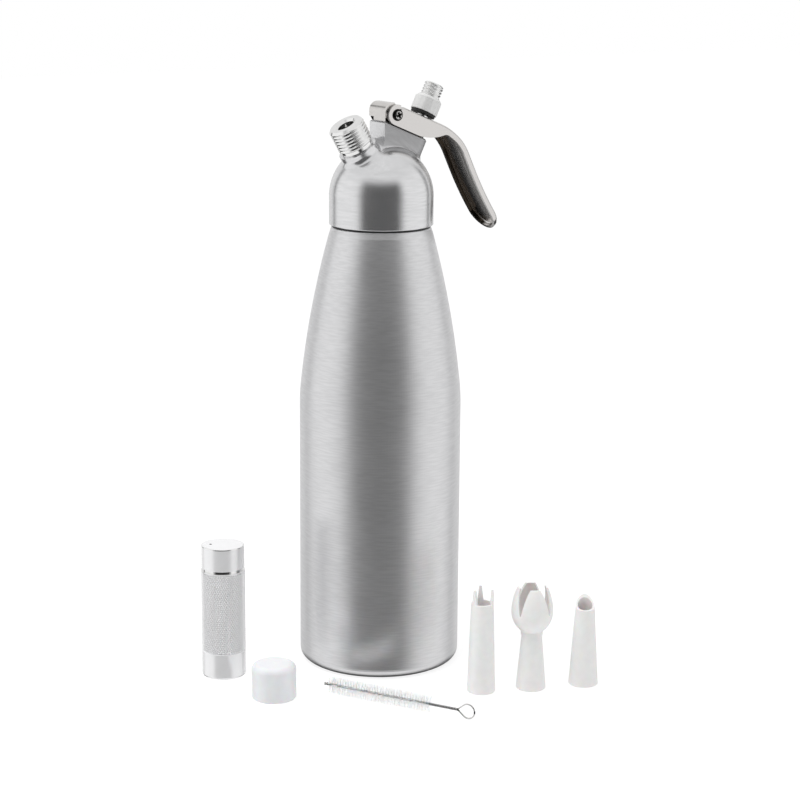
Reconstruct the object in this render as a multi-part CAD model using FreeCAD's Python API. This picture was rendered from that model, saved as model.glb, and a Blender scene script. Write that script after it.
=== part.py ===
"""Whipped cream dispenser with a side lever, and the pieces that come with it.

Millimetres, +Z up. The origin is the centre of the bottle's foot, on the floor. The lever
reaches out along +X and the XZ plane is the plane of symmetry of the head.
"""
import FreeCAD
import Part
import math
import os
from FreeCAD import Placement, Rotation, Vector

X = Vector(1, 0, 0)
Y = Vector(0, 1, 0)
Z = Vector(0, 0, 1)
ORIGIN = Vector(0, 0, 0)

# ---------------------------------------------------------------- bottle
body_r = 45.0
wall = 1.8
foot_corner = 5.6
dish_r = 34.0
dish_rise = 3.5
shoulder_start = 147.7
knee_radius = 120.0
knee_turn = 6.0
rim_r = 27.6
rim_height = 247.3
rim_round = 0.7
neck_r = 25.6
neck_height = 14.7

# ---------------------------------------------------------------- head casting
head_gap = 1.2
head_r = 28.7
skirt_height = 15.6
skirt_edge = 2.2
skirt_clearance = 0.35
neck_ring_r = 26.9
neck_ring_gap = 0.1
seal_thickness = 2.0
seal_gap = 0.05
seat_inner_r = 22.0
cavity_r = 24.0
boss_half_width = 7.5
boss_rear = -2.9
boss_flat = 1.4
boss_rise = 40.9
boss_bevel = 0.7
boss_blend = 6.0
boss_land = 31.4

# ---------------------------------------------------------------- charger inlet, on its own axis
inlet_tilt = 30.5
inlet_seat_r = 10.8
inlet_seat = 31.0
inlet_blend = 3.5
blend_bite = 0.05
inlet_ring_r = 9.1
inlet_ring_height = 2.4
inlet_thread_r = 10.0
inlet_thread_length = 13.2
inlet_chamfer = 1.2
inlet_tail_r = 5.0
inlet_tail_end = 18.4
inlet_nut_flats = 13.0
inlet_nut_height = 4.0
inlet_nut_seat = 23.0
nut_seat_margin = 0.5
socket_r = 4.7
socket_depth = 11.0
inlet_gasket_thickness = 1.4
inlet_gasket_hole_r = 1.8
needle_r = 0.9
needle_height = 4.0
needle_point = 1.6
plug_r = 3.2
plug_height = 5.0
gas_slot_width = 1.0
pin_stem_r = 1.6
pin_stem_length = 9.0
sleeve_thickness = 0.9

# ---------------------------------------------------------------- lever and its pivot
pivot_x = 4.1
pivot_rise = 44.5
lever_slope = 22.4
lever_width = 18.7
lever_steel = 1.5
lever_corner = 2.6
cheek_height = 11.2
cheek_run = 16.0
cheek_blend = 4.0
web_start = 0.3
neck_run = 30.9
neck_bend = 33.0
neck_turn = 42.0
grip_run = 10.4
grip_bend = 203.0
grip_turn = 11.0
grip_slope = 56.0
grip_width = 21.8
grip_depth = 4.0
flare_start = 24.0
flare_end = 44.0
ridge_r = 1.2
web_hole_r = 5.2
cheek_clearance = 0.35
pivot_pin_r = 2.0
pivot_clearance = 0.05
pivot_side_gap = 0.1
pivot_head_r = 3.25
pivot_head_height = 1.7
pivot_nut_flats = 7.0
pivot_nut_height = 3.2
thread_end = 0.6

# ---------------------------------------------------------------- hinge block
block_rear = -3.3
block_bottom = 43.2
block_top = 51.1
block_round = 5.0
block_flat_end = 3.3
block_nose_gap = 0.4
tongue_half_width = 5.75
tongue_rear = -1.5
tongue_front = 8.5
tongue_bottom = 36.9
bolt_x = 1.2
bolt_r = 2.0
bolt_bite = 3.2
bolt_head_r = 3.0
bolt_head_height = 2.5
bolt_seat_depth = 1.6
bolt_seat_margin = 0.5

# ---------------------------------------------------------------- dispensing valve, on its own axis
valve_tilt = 26.3
valve_cross = -11.3
guide_r = 5.6
guide_flange_r = 6.5
guide_flange_height = 1.8
guide_sink = 1.2
guide_length = 11.8
stem_r = 3.5
stem_clearance = 0.05
stem_bore_r = 1.9
stem_foot_r = 4.6
stem_foot_height = 1.2
port_r = 1.1
port_lift = 1.8
valve_seal_r = 5.2
valve_seal_height = 3.4
ring_section_r = 0.65
ring_groove_margin = 0.1
ring_lift = 3.8
ring_spacing = 3.4
collar_r = 7.0
collar_height = 1.6
collar_gap = 0.4
spring_r = 5.3
spring_wire_r = 0.5
spring_gap = 0.05
spring_turns = 3.0

# ---------------------------------------------------------------- tip adaptor, on the valve's axis
nut_clearance = 3.0
nut_r = 7.65
nut_sides = 12
nut_flats = 15.0
nut_height = 9.0
nut_chamfer = 1.4
nut_recess_r = 6.9
nut_recess = 2.0
stem_grip = 4.2
adaptor_gasket_thickness = 0.8
nut_seal_drop = 1.3
adaptor_bore_r = 2.4
tip_thread_r = 5.6
tip_thread_length = 7.6
tip_thread_chamfer = 0.6
tip_mouth_r = 3.2

# ---------------------------------------------------------------- charger holder
holder_r = 12.1
holder_height = 75.0
holder_edge = 1.2
holder_groove_bottom = 61.0
holder_groove_top = 62.4
holder_groove_depth = 0.8
holder_band_r = 11.8
holder_top_edge = 0.5
holder_thread_depth = 13.0
holder_bore_r = 9.2
holder_bore_depth = 70.0
inlet_fit = 0.2
vent_r = 0.8
vent_offset = 6.7
vent_bearing = 146.0

# ---------------------------------------------------------------- protective cap
cap_r = 12.0
cap_height = 19.2
cap_round = 3.2
cap_bore_depth = 16.6

# ---------------------------------------------------------------- decorating tips
tip_wall = 1.1
tip_edge = 0.6
tip_fit = 0.25
tip_socket_depth = 9.0

prongs_base_r = 7.7
prongs_top_r = 6.15
prongs_tube_height = 50.5
prongs_height = 58.6
prong_root_width = 3.4
prong_end_width = 1.2
prong_count = 3
prong_bearing = 66.0

tulip_base_r = 8.25
tulip_neck_r = 5.6
tulip_neck_height = 31.0
tulip_collar = 0.5
tulip_collar_height = 2.2
tulip_bulb_r = 11.4
tulip_bulb_height = 44.0
tulip_top_r = 8.2
tulip_height = 58.0
tulip_petals = 4
tulip_bearing = -27.0
tulip_slit = 0.8
tulip_slit_foot = 43.5
tulip_gap = 7.2

plain_base_r = 8.15
plain_top_r = 4.9
plain_height = 50.2
plain_front_height = 43.6
plain_scoop = 1.6
plain_bearing = -124.0

# ---------------------------------------------------------------- cleaning brush
brush_wire_r = 0.95
brush_length = 81.8
brush_loop_r = 3.9
brush_loop_reach = 5.6
brush_loop_wire_r = 0.45
bristle_r = 5.0
bristle_start = 3.1
bristle_length = 61.9
brush_tip_x = -59.8
brush_tip_y = -36.4
brush_heading = -61.7

# Loose pieces stand on the floor: gap from their side to the bottle's, and bearing about +Z.
holder_stand_gap = 36.0
holder_stand_bearing = 168.4
cap_stand_gap = 33.7
cap_stand_bearing = -162.1
prongs_stand_gap = 30.1
prongs_stand_bearing = -80.8
tulip_stand_gap = 46.9
tulip_stand_bearing = -66.8
plain_stand_gap = 69.9
plain_stand_bearing = -56.6

# ---------------------------------------------------------------- sizes that follow from these
neck_top = rim_height + neck_height
skirt_bottom = rim_height + head_gap
dome_z = skirt_bottom + skirt_height
skirt_bore_r = neck_r + skirt_clearance
seal_seat = neck_top + seal_gap + seal_thickness
inlet_top = inlet_seat + inlet_ring_height + inlet_thread_length
inlet_shelf = inlet_top - socket_depth
plug_bottom = inlet_shelf - plug_height
cheek_inner = lever_width / 2 - lever_steel
block_half_width = cheek_inner - cheek_clearance
cheek_round = neck_bend - grip_depth
cap_bore_r = inlet_thread_r + inlet_fit
tip_socket_r = tip_thread_r + tip_fit

inlet_frame = Placement(Vector(0, 0, dome_z), Rotation(Y, -inlet_tilt))
valve_frame = Placement(Vector(0, 0, dome_z + valve_cross), Rotation(Y, valve_tilt))
grip_frame = Placement(Vector(pivot_x, 0, dome_z + pivot_rise), Rotation(Y, grip_slope))
pivot = grip_frame.Base
lever_along = Rotation(Y, lever_slope).multVec(X)
lever_up = Rotation(Y, lever_slope).multVec(Z)
valve_along = Rotation(Y, valve_tilt).multVec(Z)
boss_corner = Vector(boss_rear + boss_flat, 0, dome_z + boss_rise)


def along_valve(point):
    """Where the valve's axis meets the plane through a point square to lever_up."""
    return (point - valve_frame.Base).dot(lever_up) / valve_along.dot(lever_up)


boss_top = along_valve(boss_corner)
web_top = along_valve(pivot + lever_up * (cheek_height / 2))
web_under = along_valve(pivot + lever_up * (cheek_height / 2 - lever_steel))
guide_top = boss_top - guide_sink
guide_shoulder = guide_top - guide_flange_height
guide_bottom = guide_top - guide_length
collar_top = web_under - ridge_r - collar_gap
collar_bottom = collar_top - collar_height
nut_bottom = web_top + nut_clearance
nut_top = nut_bottom + nut_height
stem_top = nut_bottom + nut_recess + stem_grip


# ================================================================ helpers
def on_circle(centre, radius, degrees):
    """Point (across, height) on a circle, turned from across towards up."""
    angle = math.radians(degrees)
    return (centre[0] + radius * math.cos(angle), centre[1] + radius * math.sin(angle))


def flat(point):
    """Vector of the XZ plane as an (across, height) pair."""
    return (point.x, point.z)


def outline(start, *steps):
    """Face in the XZ plane. A step is a point, or a pair: a point on an arc and its end."""
    edges = []
    here = Vector(start[0], 0, start[1])
    for step in steps + (start,):
        curved = isinstance(step[0], tuple)
        goal = step[1] if curved else step
        end = Vector(goal[0], 0, goal[1])
        if curved:
            middle = Vector(step[0][0], 0, step[0][1])
            edges.append(Part.Arc(here, middle, end).toShape())
        elif (end - here).Length > 1e-7:
            edges.append(Part.LineSegment(here, end).toShape())
        here = end
    return Part.Face(Part.Wire(edges))


def turned(start, *steps):
    """Solid of revolution about Z from an outline of (radius, height) points."""
    return outline(start, *steps).revolve(ORIGIN, Z, 360)


def plate(face, half_width):
    """An XZ outline made thick, evenly to both sides of its plane."""
    lifted = face.copy()
    lifted.translate(Y * -half_width)
    return lifted.extrude(Y * (2 * half_width))


def rod(radius, bottom, top, x=0.0, y=0.0):
    """Upright cylinder between two heights."""
    return Part.makeCylinder(radius, top - bottom, Vector(x, y, bottom), Z)


def cross_rod(radius, left, right, centre):
    """Cylinder along Y through a point of the XZ plane."""
    return Part.makeCylinder(radius, right - left, Vector(centre.x, left, centre.z), Y)


def ring(outer, inner, bottom, top):
    """Upright washer or tube."""
    return rod(outer, bottom, top).cut(rod(inner, bottom, top))


def prism(sides, flats, bottom, top):
    """Upright prism with a regular outline, from its width across flats."""
    reach = flats / 2 / math.cos(math.pi / sides)
    corners = []
    for i in range(sides + 1):
        x, y = on_circle((0, 0), reach, 360.0 * (i + 0.5) / sides)
        corners.append(Vector(x, y, bottom))
    return Part.Face(Part.makePolygon(corners)).extrude(Z * (top - bottom))


def placed(shape, placement):
    moved = shape.copy()
    moved.Placement = placement.multiply(moved.Placement)
    return moved


def standing(gap, bearing, own_r):
    """Placement of a loose piece from its gap to the bottle and its bearing."""
    x, y = on_circle((0, 0), body_r + gap + own_r, bearing)
    return Placement(Vector(x, y, 0), Rotation())


# ================================================================ bottle
def shoulder(inset):
    """Knee and shoulder arcs of the bottle, moved in by an inset, from the body to the rim."""
    knee = (body_r - knee_radius, shoulder_start)
    knee_end = on_circle(knee, knee_radius, knee_turn)
    inward = on_circle((0, 0), -1, knee_turn)
    chord = (rim_r - knee_end[0], rim_height - knee_end[1])
    radius = (chord[0] ** 2 + chord[1] ** 2) / (2 * (chord[0] * inward[0] + chord[1] * inward[1]))
    centre = (knee_end[0] + radius * inward[0], knee_end[1] + radius * inward[1])
    rim_turn = math.degrees(math.atan2(rim_height - centre[1], rim_r - centre[0]))
    return (
        (body_r - inset, shoulder_start),
        (on_circle(knee, knee_radius - inset, knee_turn / 2),
         on_circle(knee, knee_radius - inset, knee_turn)),
        (on_circle(centre, radius - inset, (knee_turn + rim_turn) / 2),
         on_circle(centre, radius - inset, rim_turn)),
    )


def make_bottle():
    """Drawn bottle: dished foot, straight body, long shoulder and a neck for the thread."""
    corner = (body_r - foot_corner, foot_corner)
    dish_radius = (dish_r ** 2 + dish_rise ** 2) / (2 * dish_rise)
    dish = (0.0, dish_rise - dish_radius)
    dish_middle = 90 - math.degrees(math.asin(dish_r / dish_radius)) / 2
    outer = turned(
        (0, dish_rise), (on_circle(dish, dish_radius, dish_middle), (dish_r, 0)),
        (corner[0], 0), (on_circle(corner, foot_corner, -45), (body_r, foot_corner)),
        *shoulder(0), (neck_r, rim_height), (neck_r, neck_top), (0, neck_top))
    rim = [e for e in outer.Edges if abs(e.BoundBox.ZMin - rim_height) < 1e-4
           and abs(e.BoundBox.XMax - rim_r) < 1e-3]
    outer = outer.makeFillet(rim_round, rim)
    hollow = turned(
        (0, dish_rise + wall),
        (on_circle(dish, dish_radius + wall, dish_middle), (dish_r, wall)),
        (corner[0], wall),
        (on_circle(corner, foot_corner - wall, -45), (body_r - wall, foot_corner)),
        *shoulder(wall), (0, shoulder(wall)[2][1][1]))
    hollow = hollow.common(rod(body_r, 0, rim_height - wall))
    return outer.cut([hollow, rod(neck_r - wall, shoulder_start, neck_top + 1)])


def make_neck_ring():
    """Rubber ring round the foot of the neck that fills the gap under the head."""
    return ring(neck_ring_r, neck_r, rim_height, skirt_bottom - neck_ring_gap)


# ================================================================ head
def tongue():
    """Foot of the hinge block, let into the top of the boss."""
    low = dome_z + tongue_bottom
    high = dome_z + block_bottom
    return plate(outline((tongue_rear, low), (tongue_front, low), (tongue_front, high),
                         (tongue_rear, high)), tongue_half_width)


def make_boss():
    """Block that carries the hinge at its rear and the valve in its round front."""
    front_top = valve_frame.Base + valve_along * boss_top
    front_low = valve_frame.Base + valve_along * cavity_r
    slab = plate(outline((boss_rear, dome_z), (boss_rear, boss_corner.z), flat(boss_corner),
                         flat(front_top), flat(front_low)), boss_half_width)
    nose = placed(rod(boss_half_width, cavity_r, 2 * boss_top), valve_frame)
    far = boss_corner + lever_along * (2 * boss_top)
    over = plate(outline(flat(boss_corner), flat(far), flat(far + lever_up * (2 * boss_top)),
                         flat(boss_corner + lever_up * (2 * boss_top))), 2 * boss_half_width)
    boss = slab.fuse(nose.cut(over)).removeSplitter()
    bevelled = []
    for edge in boss.Edges:
        middle = edge.valueAt((edge.FirstParameter + edge.LastParameter) / 2)
        on_slope = abs((middle - boss_corner).dot(lever_up)) < 1e-4 and edge.BoundBox.XLength > 0.01
        on_flat = abs(middle.z - boss_corner.z) < 1e-4 and middle.x < boss_corner.x - 1e-4
        if on_slope or on_flat:
            bevelled.append(edge)
    return boss.makeChamfer(boss_bevel, bevelled)


def make_inlet_pad():
    """Round pad under the inlet that runs into the dome with a concave blend."""
    across = inlet_seat_r + inlet_blend
    centre = (across, math.sqrt((head_r + inlet_blend - blend_bite) ** 2 - across ** 2))
    foot = math.degrees(math.atan2(-centre[1], -centre[0]))
    pad = turned((0, cavity_r), on_circle(centre, inlet_blend, foot),
                 (on_circle(centre, inlet_blend, (foot - 180) / 2), (inlet_seat_r, centre[1])),
                 (inlet_seat_r, inlet_seat), (0, inlet_seat))
    return placed(pad, inlet_frame)


def make_head():
    """Cast cap: skirt, dome, inlet pad and the boss of the lever and the valve."""
    corner = (head_r - skirt_edge, skirt_bottom + skirt_edge)
    shell = turned(
        (0, skirt_bottom), (corner[0], skirt_bottom),
        (on_circle(corner, skirt_edge, -45), (head_r, corner[1])), (head_r, dome_z),
        (on_circle((0, dome_z), head_r, 45), (0, dome_z + head_r)))
    body = shell.fuse(make_boss()).removeSplitter()
    foot = []
    for edge in body.Edges:
        span = edge.LastParameter - edge.FirstParameter
        marks = [edge.valueAt(edge.FirstParameter + k * span) for k in (0.1, 0.5, 0.9)]
        off_dome = max(abs((p - inlet_frame.Base).Length - head_r) for p in marks)
        if off_dome < 1e-3 and max(abs(p.y) for p in marks) > 1 and marks[1].z > dome_z + 1:
            foot.append(edge)
    body = body.makeFillet(boss_blend, foot)
    milled = Part.makeBox(head_r, 2 * head_r, boss_rise,
                          Vector(boss_rear - head_r, -head_r, dome_z + boss_land))
    body = body.cut(milled).fuse(make_inlet_pad())
    step = math.sqrt(cavity_r ** 2 - seat_inner_r ** 2)
    half_turn = (math.degrees(math.asin(step / cavity_r)) + 90) / 2
    cavity = turned(
        (0, skirt_bottom - 1), (skirt_bore_r, skirt_bottom - 1), (skirt_bore_r, seal_seat),
        (seat_inner_r, seal_seat), (seat_inner_r, dome_z + step),
        (on_circle((0, dome_z), cavity_r, half_turn), (0, dome_z + cavity_r)))
    nut_seat_r = inlet_nut_flats / math.sqrt(3) + nut_seat_margin
    bolt_seat = dome_z + cavity_r - bolt_seat_depth
    return body.cut([
        cavity,
        placed(rod(inlet_tail_r, 0, 2 * inlet_seat), inlet_frame),
        placed(rod(nut_seat_r, 0, inlet_nut_seat), inlet_frame),
        placed(rod(guide_r, 0, boss_top + 1), valve_frame),
        placed(rod(guide_flange_r, guide_shoulder, 2 * boss_top), valve_frame),
        tongue(),
        rod(bolt_r, dome_z, boss_corner.z, bolt_x),
        rod(bolt_head_r + bolt_seat_margin, dome_z, bolt_seat, bolt_x)])


def make_head_gasket():
    return ring(skirt_bore_r, seat_inner_r, seal_seat - seal_thickness, seal_seat)


# ================================================================ charger inlet
def make_charger_inlet():
    """Threaded nipple that the charger holder screws onto, with a tail held by a nut."""
    ring_top = inlet_seat + inlet_ring_height
    nipple = turned(
        (0, inlet_tail_end), (inlet_tail_r, inlet_tail_end), (inlet_tail_r, inlet_seat),
        (inlet_ring_r, inlet_seat), (inlet_ring_r, ring_top),
        (inlet_thread_r, ring_top + inlet_thread_r - inlet_ring_r),
        (inlet_thread_r, inlet_top - inlet_chamfer),
        (inlet_thread_r - inlet_chamfer, inlet_top), (0, inlet_top))
    mouth = Part.makeCone(socket_r, socket_r + inlet_chamfer, inlet_chamfer,
                          Z * (inlet_top - inlet_chamfer), Z)
    hollow = [rod(socket_r, inlet_shelf, inlet_top), rod(plug_r, 0, inlet_top), mouth]
    return placed(nipple.cut(hollow), inlet_frame)


def make_inlet_gasket():
    """Washer that the neck of the charger is pressed against."""
    washer = ring(socket_r, inlet_gasket_hole_r, inlet_shelf, inlet_shelf + inlet_gasket_thickness)
    return placed(washer, inlet_frame)


def make_piercing_pin():
    """Pin that opens the charger: a plug in the bore, a needle above it and a stem below."""
    needle_top = inlet_shelf + needle_height
    pin = turned(
        (0, plug_bottom - pin_stem_length), (pin_stem_r, plug_bottom - pin_stem_length),
        (pin_stem_r, plug_bottom), (plug_r, plug_bottom), (plug_r, inlet_shelf),
        (needle_r, inlet_shelf), (needle_r, needle_top - needle_point), (0, needle_top))
    gas_slot = Part.makeBox(plug_r, gas_slot_width, plug_height,
                            Vector(pin_stem_r, -gas_slot_width / 2, plug_bottom))
    return placed(pin.cut(gas_slot), inlet_frame)


def make_check_valve():
    """Rubber sleeve on the stem of the pin that keeps gas and cream from coming back."""
    sleeve = ring(pin_stem_r + sleeve_thickness, pin_stem_r,
                  plug_bottom - pin_stem_length, plug_bottom)
    return placed(sleeve, inlet_frame)


def make_inlet_nut():
    nut = prism(6, inlet_nut_flats, inlet_nut_seat - inlet_nut_height, inlet_nut_seat)
    return placed(nut.cut(rod(inlet_tail_r, 0, inlet_nut_seat)), inlet_frame)


# ================================================================ lever
def lever_line(depth, rear=0.0):
    """Points of the lever's top line, moved down by a depth.

    In order: rear end, bend start, bend middle, bend end, grip start, grip middle, grip end,
    and a point past the end. The rear end can be moved back from the web's own.
    """
    def axes(degrees):
        turn = Rotation(Y, degrees)
        return turn.multVec(X), turn.multVec(Z)

    along_grip, up_grip = axes(lever_slope + neck_turn)
    along_end, up_end = axes(lever_slope + neck_turn - grip_turn)
    up_bend = axes(lever_slope + neck_turn / 2)[1]
    up_middle = axes(lever_slope + neck_turn - grip_turn / 2)[1]
    top = pivot + lever_up * (cheek_height / 2)
    bend = top + lever_along * neck_run
    bend_centre = bend - lever_up * neck_bend
    grip = bend_centre + up_grip * neck_bend + along_grip * grip_run
    grip_centre = grip + up_grip * grip_bend
    end = grip_centre - up_end * (grip_bend + depth)
    return [top + lever_along * (web_start - rear) - lever_up * depth,
            bend - lever_up * depth,
            bend_centre + up_bend * (neck_bend - depth),
            bend_centre + up_grip * (neck_bend - depth),
            grip - up_grip * depth,
            grip_centre - up_middle * (grip_bend + depth),
            end,
            end + along_end * grip_width]


def lever_side():
    """Side outline of the channel: deep cheeks at the pivot that run out into the grip.

    Also gives the point where the round of the cheek meets the grip's edge.
    """
    rear, bend, bend_middle, bend_end, grip, grip_middle, end, past = map(flat, lever_line(0))
    low = lever_line(grip_depth)
    cheek_low = pivot - lever_up * (cheek_height / 2)
    round_start = cheek_low + lever_along * cheek_run
    round_centre = round_start + lever_up * cheek_round
    bend_centre = pivot + lever_along * neck_run + lever_up * (cheek_height / 2 - neck_bend)
    across = bend_centre - round_centre
    sideways = Rotation(Y, -90).multVec(across).normalize()
    meet = round_centre + across * 0.5 + sideways * math.sqrt(
        cheek_round ** 2 - across.Length ** 2 / 4)

    def between(centre, first, second):
        """Middle of the shorter arc about a centre between two points on it."""
        return centre + (first + second - centre * 2).normalize() * cheek_round

    face = outline(
        rear, bend, (bend_middle, bend_end), grip, (grip_middle, end), past, flat(low[7]),
        flat(low[6]), (flat(low[5]), flat(low[4])), flat(low[3]),
        (flat(between(bend_centre, low[3], meet)), flat(meet)),
        (flat(between(round_centre, meet, round_start)), flat(round_start)),
        flat(cheek_low + lever_along * web_start))
    return face, meet


def lever_plan(inset, rear=0.0):
    """Outline of the lever seen square to the grip, moved in by an inset."""
    narrow = lever_width / 2
    wide = grip_width / 2
    swing = ((flare_end - flare_start) ** 2 + (wide - narrow) ** 2) / (4 * (wide - narrow))
    turn = math.degrees(2 * math.atan((wide - narrow) / (flare_end - flare_start)))
    concave = (flare_start, narrow + swing)
    convex = (flare_end, wide - swing)
    tip = (lever_line(0)[6] - pivot).dot(grip_frame.Rotation.multVec(X))
    first = on_circle(concave, swing + inset, turn / 2 - 90)
    middle = on_circle(concave, swing + inset, turn - 90)
    second = on_circle(convex, swing - inset, turn / 2 + 90)

    def other(point):
        return (point[0], -point[1])

    upper = (flare_end, wide - inset)
    corner = (flare_start, narrow - inset)
    side = (tip - wide, wide - inset)
    return outline(
        (-rear, narrow - inset), corner, (first, middle), (second, upper), side,
        ((tip - inset, 0), other(side)), other(upper), (other(second), other(middle)),
        (other(first), other(corner)), (-rear, inset - narrow))


def lever_top(inset, rear=0.0):
    """Top line of the lever, moved in by an inset, as a wire."""
    line = lever_line(inset, rear)
    return Part.Wire([
        Part.LineSegment(line[0], line[1]).toShape(),
        Part.Arc(line[1], line[2], line[3]).toShape(),
        Part.LineSegment(line[3], line[4]).toShape(),
        Part.Arc(line[4], line[5], line[6]).toShape(),
        Part.LineSegment(line[6], line[7]).toShape()])


def pressed(side, inset, corner, rear=0.0):
    """Block with the lever's side and plan outlines, its top edges rounded as a press does."""
    plan = lever_plan(inset, rear)
    plan.rotate(ORIGIN, X, -90)
    plan.translate(Z * -grip_bend)
    block = placed(plan.extrude(Z * (2 * grip_bend)), grip_frame).common(plate(side, lever_width))
    top = lever_top(inset, rear)
    rounded = []
    for edge in block.Edges:
        middle = edge.valueAt((edge.FirstParameter + edge.LastParameter) / 2)
        crossing = edge.BoundBox.XLength < 1e-6 and edge.BoundBox.ZLength < 1e-6
        if not crossing and top.distToShape(Part.Vertex(middle.x, 0, middle.z))[0] < 1e-3:
            rounded.append(edge)
    return block.makeFillet(corner, rounded)


def make_lever():
    """Pressed steel channel: two cheeks on the pivot, and a web that runs out into a grip."""
    side, meet = lever_side()
    outer = pressed(side, 0, lever_corner)
    crease = [e for e in outer.Edges if e.BoundBox.XLength < 1e-6
              and abs(e.BoundBox.XMin - meet.x) < 1e-4 and abs(e.BoundBox.ZMin - meet.z) < 1e-4]
    outer = outer.makeFillet(cheek_blend, crease)
    inset = lever_line(lever_steel, cheek_height)
    deep = Z * (2 * neck_run)
    under = outline(
        flat(inset[0]), flat(inset[1]), (flat(inset[2]), flat(inset[3])), flat(inset[4]),
        (flat(inset[5]), flat(inset[6])), flat(inset[7]), flat(inset[7] - deep),
        (inset[0].x, inset[7].z - deep.z))
    channel = outer.cut(pressed(under, lever_steel, lever_corner - lever_steel, cheek_height))
    ends = plate(outline(
        flat(pivot + lever_up * (cheek_height / 2) + lever_along * web_start),
        flat(pivot + lever_up * (cheek_height / 2)),
        (flat(pivot - lever_along * (cheek_height / 2)),
         flat(pivot - lever_up * (cheek_height / 2))),
        flat(pivot - lever_up * (cheek_height / 2) + lever_along * web_start)), lever_width / 2)
    slot = plate(outline(
        flat(pivot - lever_along * cheek_height - lever_up * cheek_height),
        flat(pivot + lever_along * web_start - lever_up * cheek_height),
        flat(pivot + lever_along * web_start + lever_up * cheek_height),
        flat(pivot - lever_along * cheek_height + lever_up * cheek_height)), cheek_inner)
    blank = channel.fuse(ends.cut(slot)).removeSplitter()
    pivot_hole = cross_rod(pivot_pin_r + pivot_clearance, -lever_width, lever_width, pivot)
    stem_hole = placed(rod(web_hole_r, collar_top, nut_bottom), valve_frame)
    press_point = valve_frame.Base + valve_along * web_under
    ridges = cross_rod(ridge_r, -cheek_inner, cheek_inner, press_point)
    gap = cross_rod(2 * ridge_r, -web_hole_r, web_hole_r, press_point)
    return blank.cut([pivot_hole, stem_hole]).fuse(ridges.cut(gap))


def make_hinge_block():
    """Block between the cheeks, on a tongue that is let into the boss."""
    low = dome_z + block_bottom
    high = dome_z + block_top
    nose_r = cheek_height / 2 - lever_steel - block_nose_gap
    corner = (block_rear + block_round, high - block_round)
    body = plate(outline(
        (block_rear, low), (block_rear, corner[1]),
        (on_circle(corner, block_round, 135), (corner[0], high)), (block_flat_end, high),
        flat(pivot + lever_up * nose_r), flat(pivot), (pivot.x, low)), block_half_width)
    nose = cross_rod(nose_r, -block_half_width, block_half_width, pivot)
    bolt_hole = rod(bolt_r, dome_z, dome_z + tongue_bottom + bolt_bite, bolt_x)
    pin_hole = cross_rod(pivot_pin_r, -block_half_width, block_half_width, pivot)
    return body.fuse([nose, tongue()]).removeSplitter().cut([bolt_hole, pin_hole])


def make_hinge_bolt():
    """Bolt that draws the hinge block down onto the boss from inside the head."""
    seat = dome_z + cavity_r - bolt_seat_depth
    tip = dome_z + tongue_bottom + bolt_bite
    return rod(bolt_head_r, seat - bolt_head_height, seat, bolt_x).fuse(rod(bolt_r, seat, tip, bolt_x))


def make_pivot_screw():
    side = lever_width / 2 + pivot_side_gap
    head = cross_rod(pivot_head_r, -side - pivot_head_height, -side, pivot)
    shank = cross_rod(pivot_pin_r, -side, side + pivot_nut_height + thread_end, pivot)
    return head.fuse(shank)


def make_pivot_nut():
    nut = prism(6, pivot_nut_flats, 0, pivot_nut_height).cut(
        rod(pivot_pin_r, 0, pivot_nut_height))
    nut.rotate(ORIGIN, X, -90)
    nut.translate(pivot + Y * (lever_width / 2 + pivot_side_gap))
    return nut


# ================================================================ dispensing valve
def ring_height(index):
    """Middle of a stem ring, on the valve's axis."""
    return guide_bottom + ring_lift + index * ring_spacing


def make_valve_guide():
    """Bush that the stem slides in, with a groove for each stem ring."""
    guide = turned((0, guide_bottom), (guide_r, guide_bottom), (guide_r, guide_shoulder),
                   (guide_flange_r, guide_shoulder), (guide_flange_r, guide_top), (0, guide_top))
    guide = guide.cut(rod(stem_r + stem_clearance, guide_bottom, guide_top))
    groove_r = stem_r + stem_clearance + 2 * ring_section_r + ring_groove_margin
    half = ring_section_r + ring_groove_margin
    for index in range(2):
        middle = ring_height(index)
        guide = guide.cut(rod(groove_r, middle - half, middle + half))
    return placed(guide, valve_frame)


def make_stem_ring(index):
    hoop = Part.makeTorus(stem_r + stem_clearance + ring_section_r, ring_section_r)
    hoop.translate(Z * ring_height(index))
    return placed(hoop, valve_frame)


def make_valve_stem():
    """Hollow stem: ports near its foot, a collar that the lever bears on, a thread on top."""
    seal_bottom = guide_bottom - seal_gap - valve_seal_height
    foot = seal_bottom - stem_foot_height
    stem = turned(
        (0, foot), (stem_foot_r, foot), (stem_foot_r, seal_bottom), (stem_r, seal_bottom),
        (stem_r, collar_bottom), (collar_r, collar_bottom), (collar_r, collar_top),
        (stem_r, collar_top), (stem_r, stem_top), (0, stem_top))
    ports = Part.makeCylinder(port_r, 4 * stem_r, Vector(-2 * stem_r, 0, guide_bottom + port_lift), X)
    ports = ports.fuse(placed(ports, Placement(ORIGIN, Rotation(Z, 90))))
    bore = rod(stem_bore_r, guide_bottom + port_lift, stem_top)
    return placed(stem.cut([ports, bore]), valve_frame)


def make_valve_seal():
    top = guide_bottom - seal_gap
    return placed(ring(valve_seal_r, stem_r, top - valve_seal_height, top), valve_frame)


def make_valve_spring():
    """Coil between the guide and the collar that holds the valve shut."""
    coil_r = spring_r - spring_wire_r
    low = guide_top + spring_gap + spring_wire_r
    rise = collar_bottom - spring_gap - spring_wire_r - low
    path = Part.makeHelix(rise / spring_turns, rise, coil_r)
    section = Part.makeCircle(spring_wire_r, Vector(coil_r, 0, 0), Y)
    coil = Part.Wire(path.Edges).makePipeShell([Part.Wire(section)], True, True)
    coil.translate(Z * low)
    return placed(coil, valve_frame)


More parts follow.
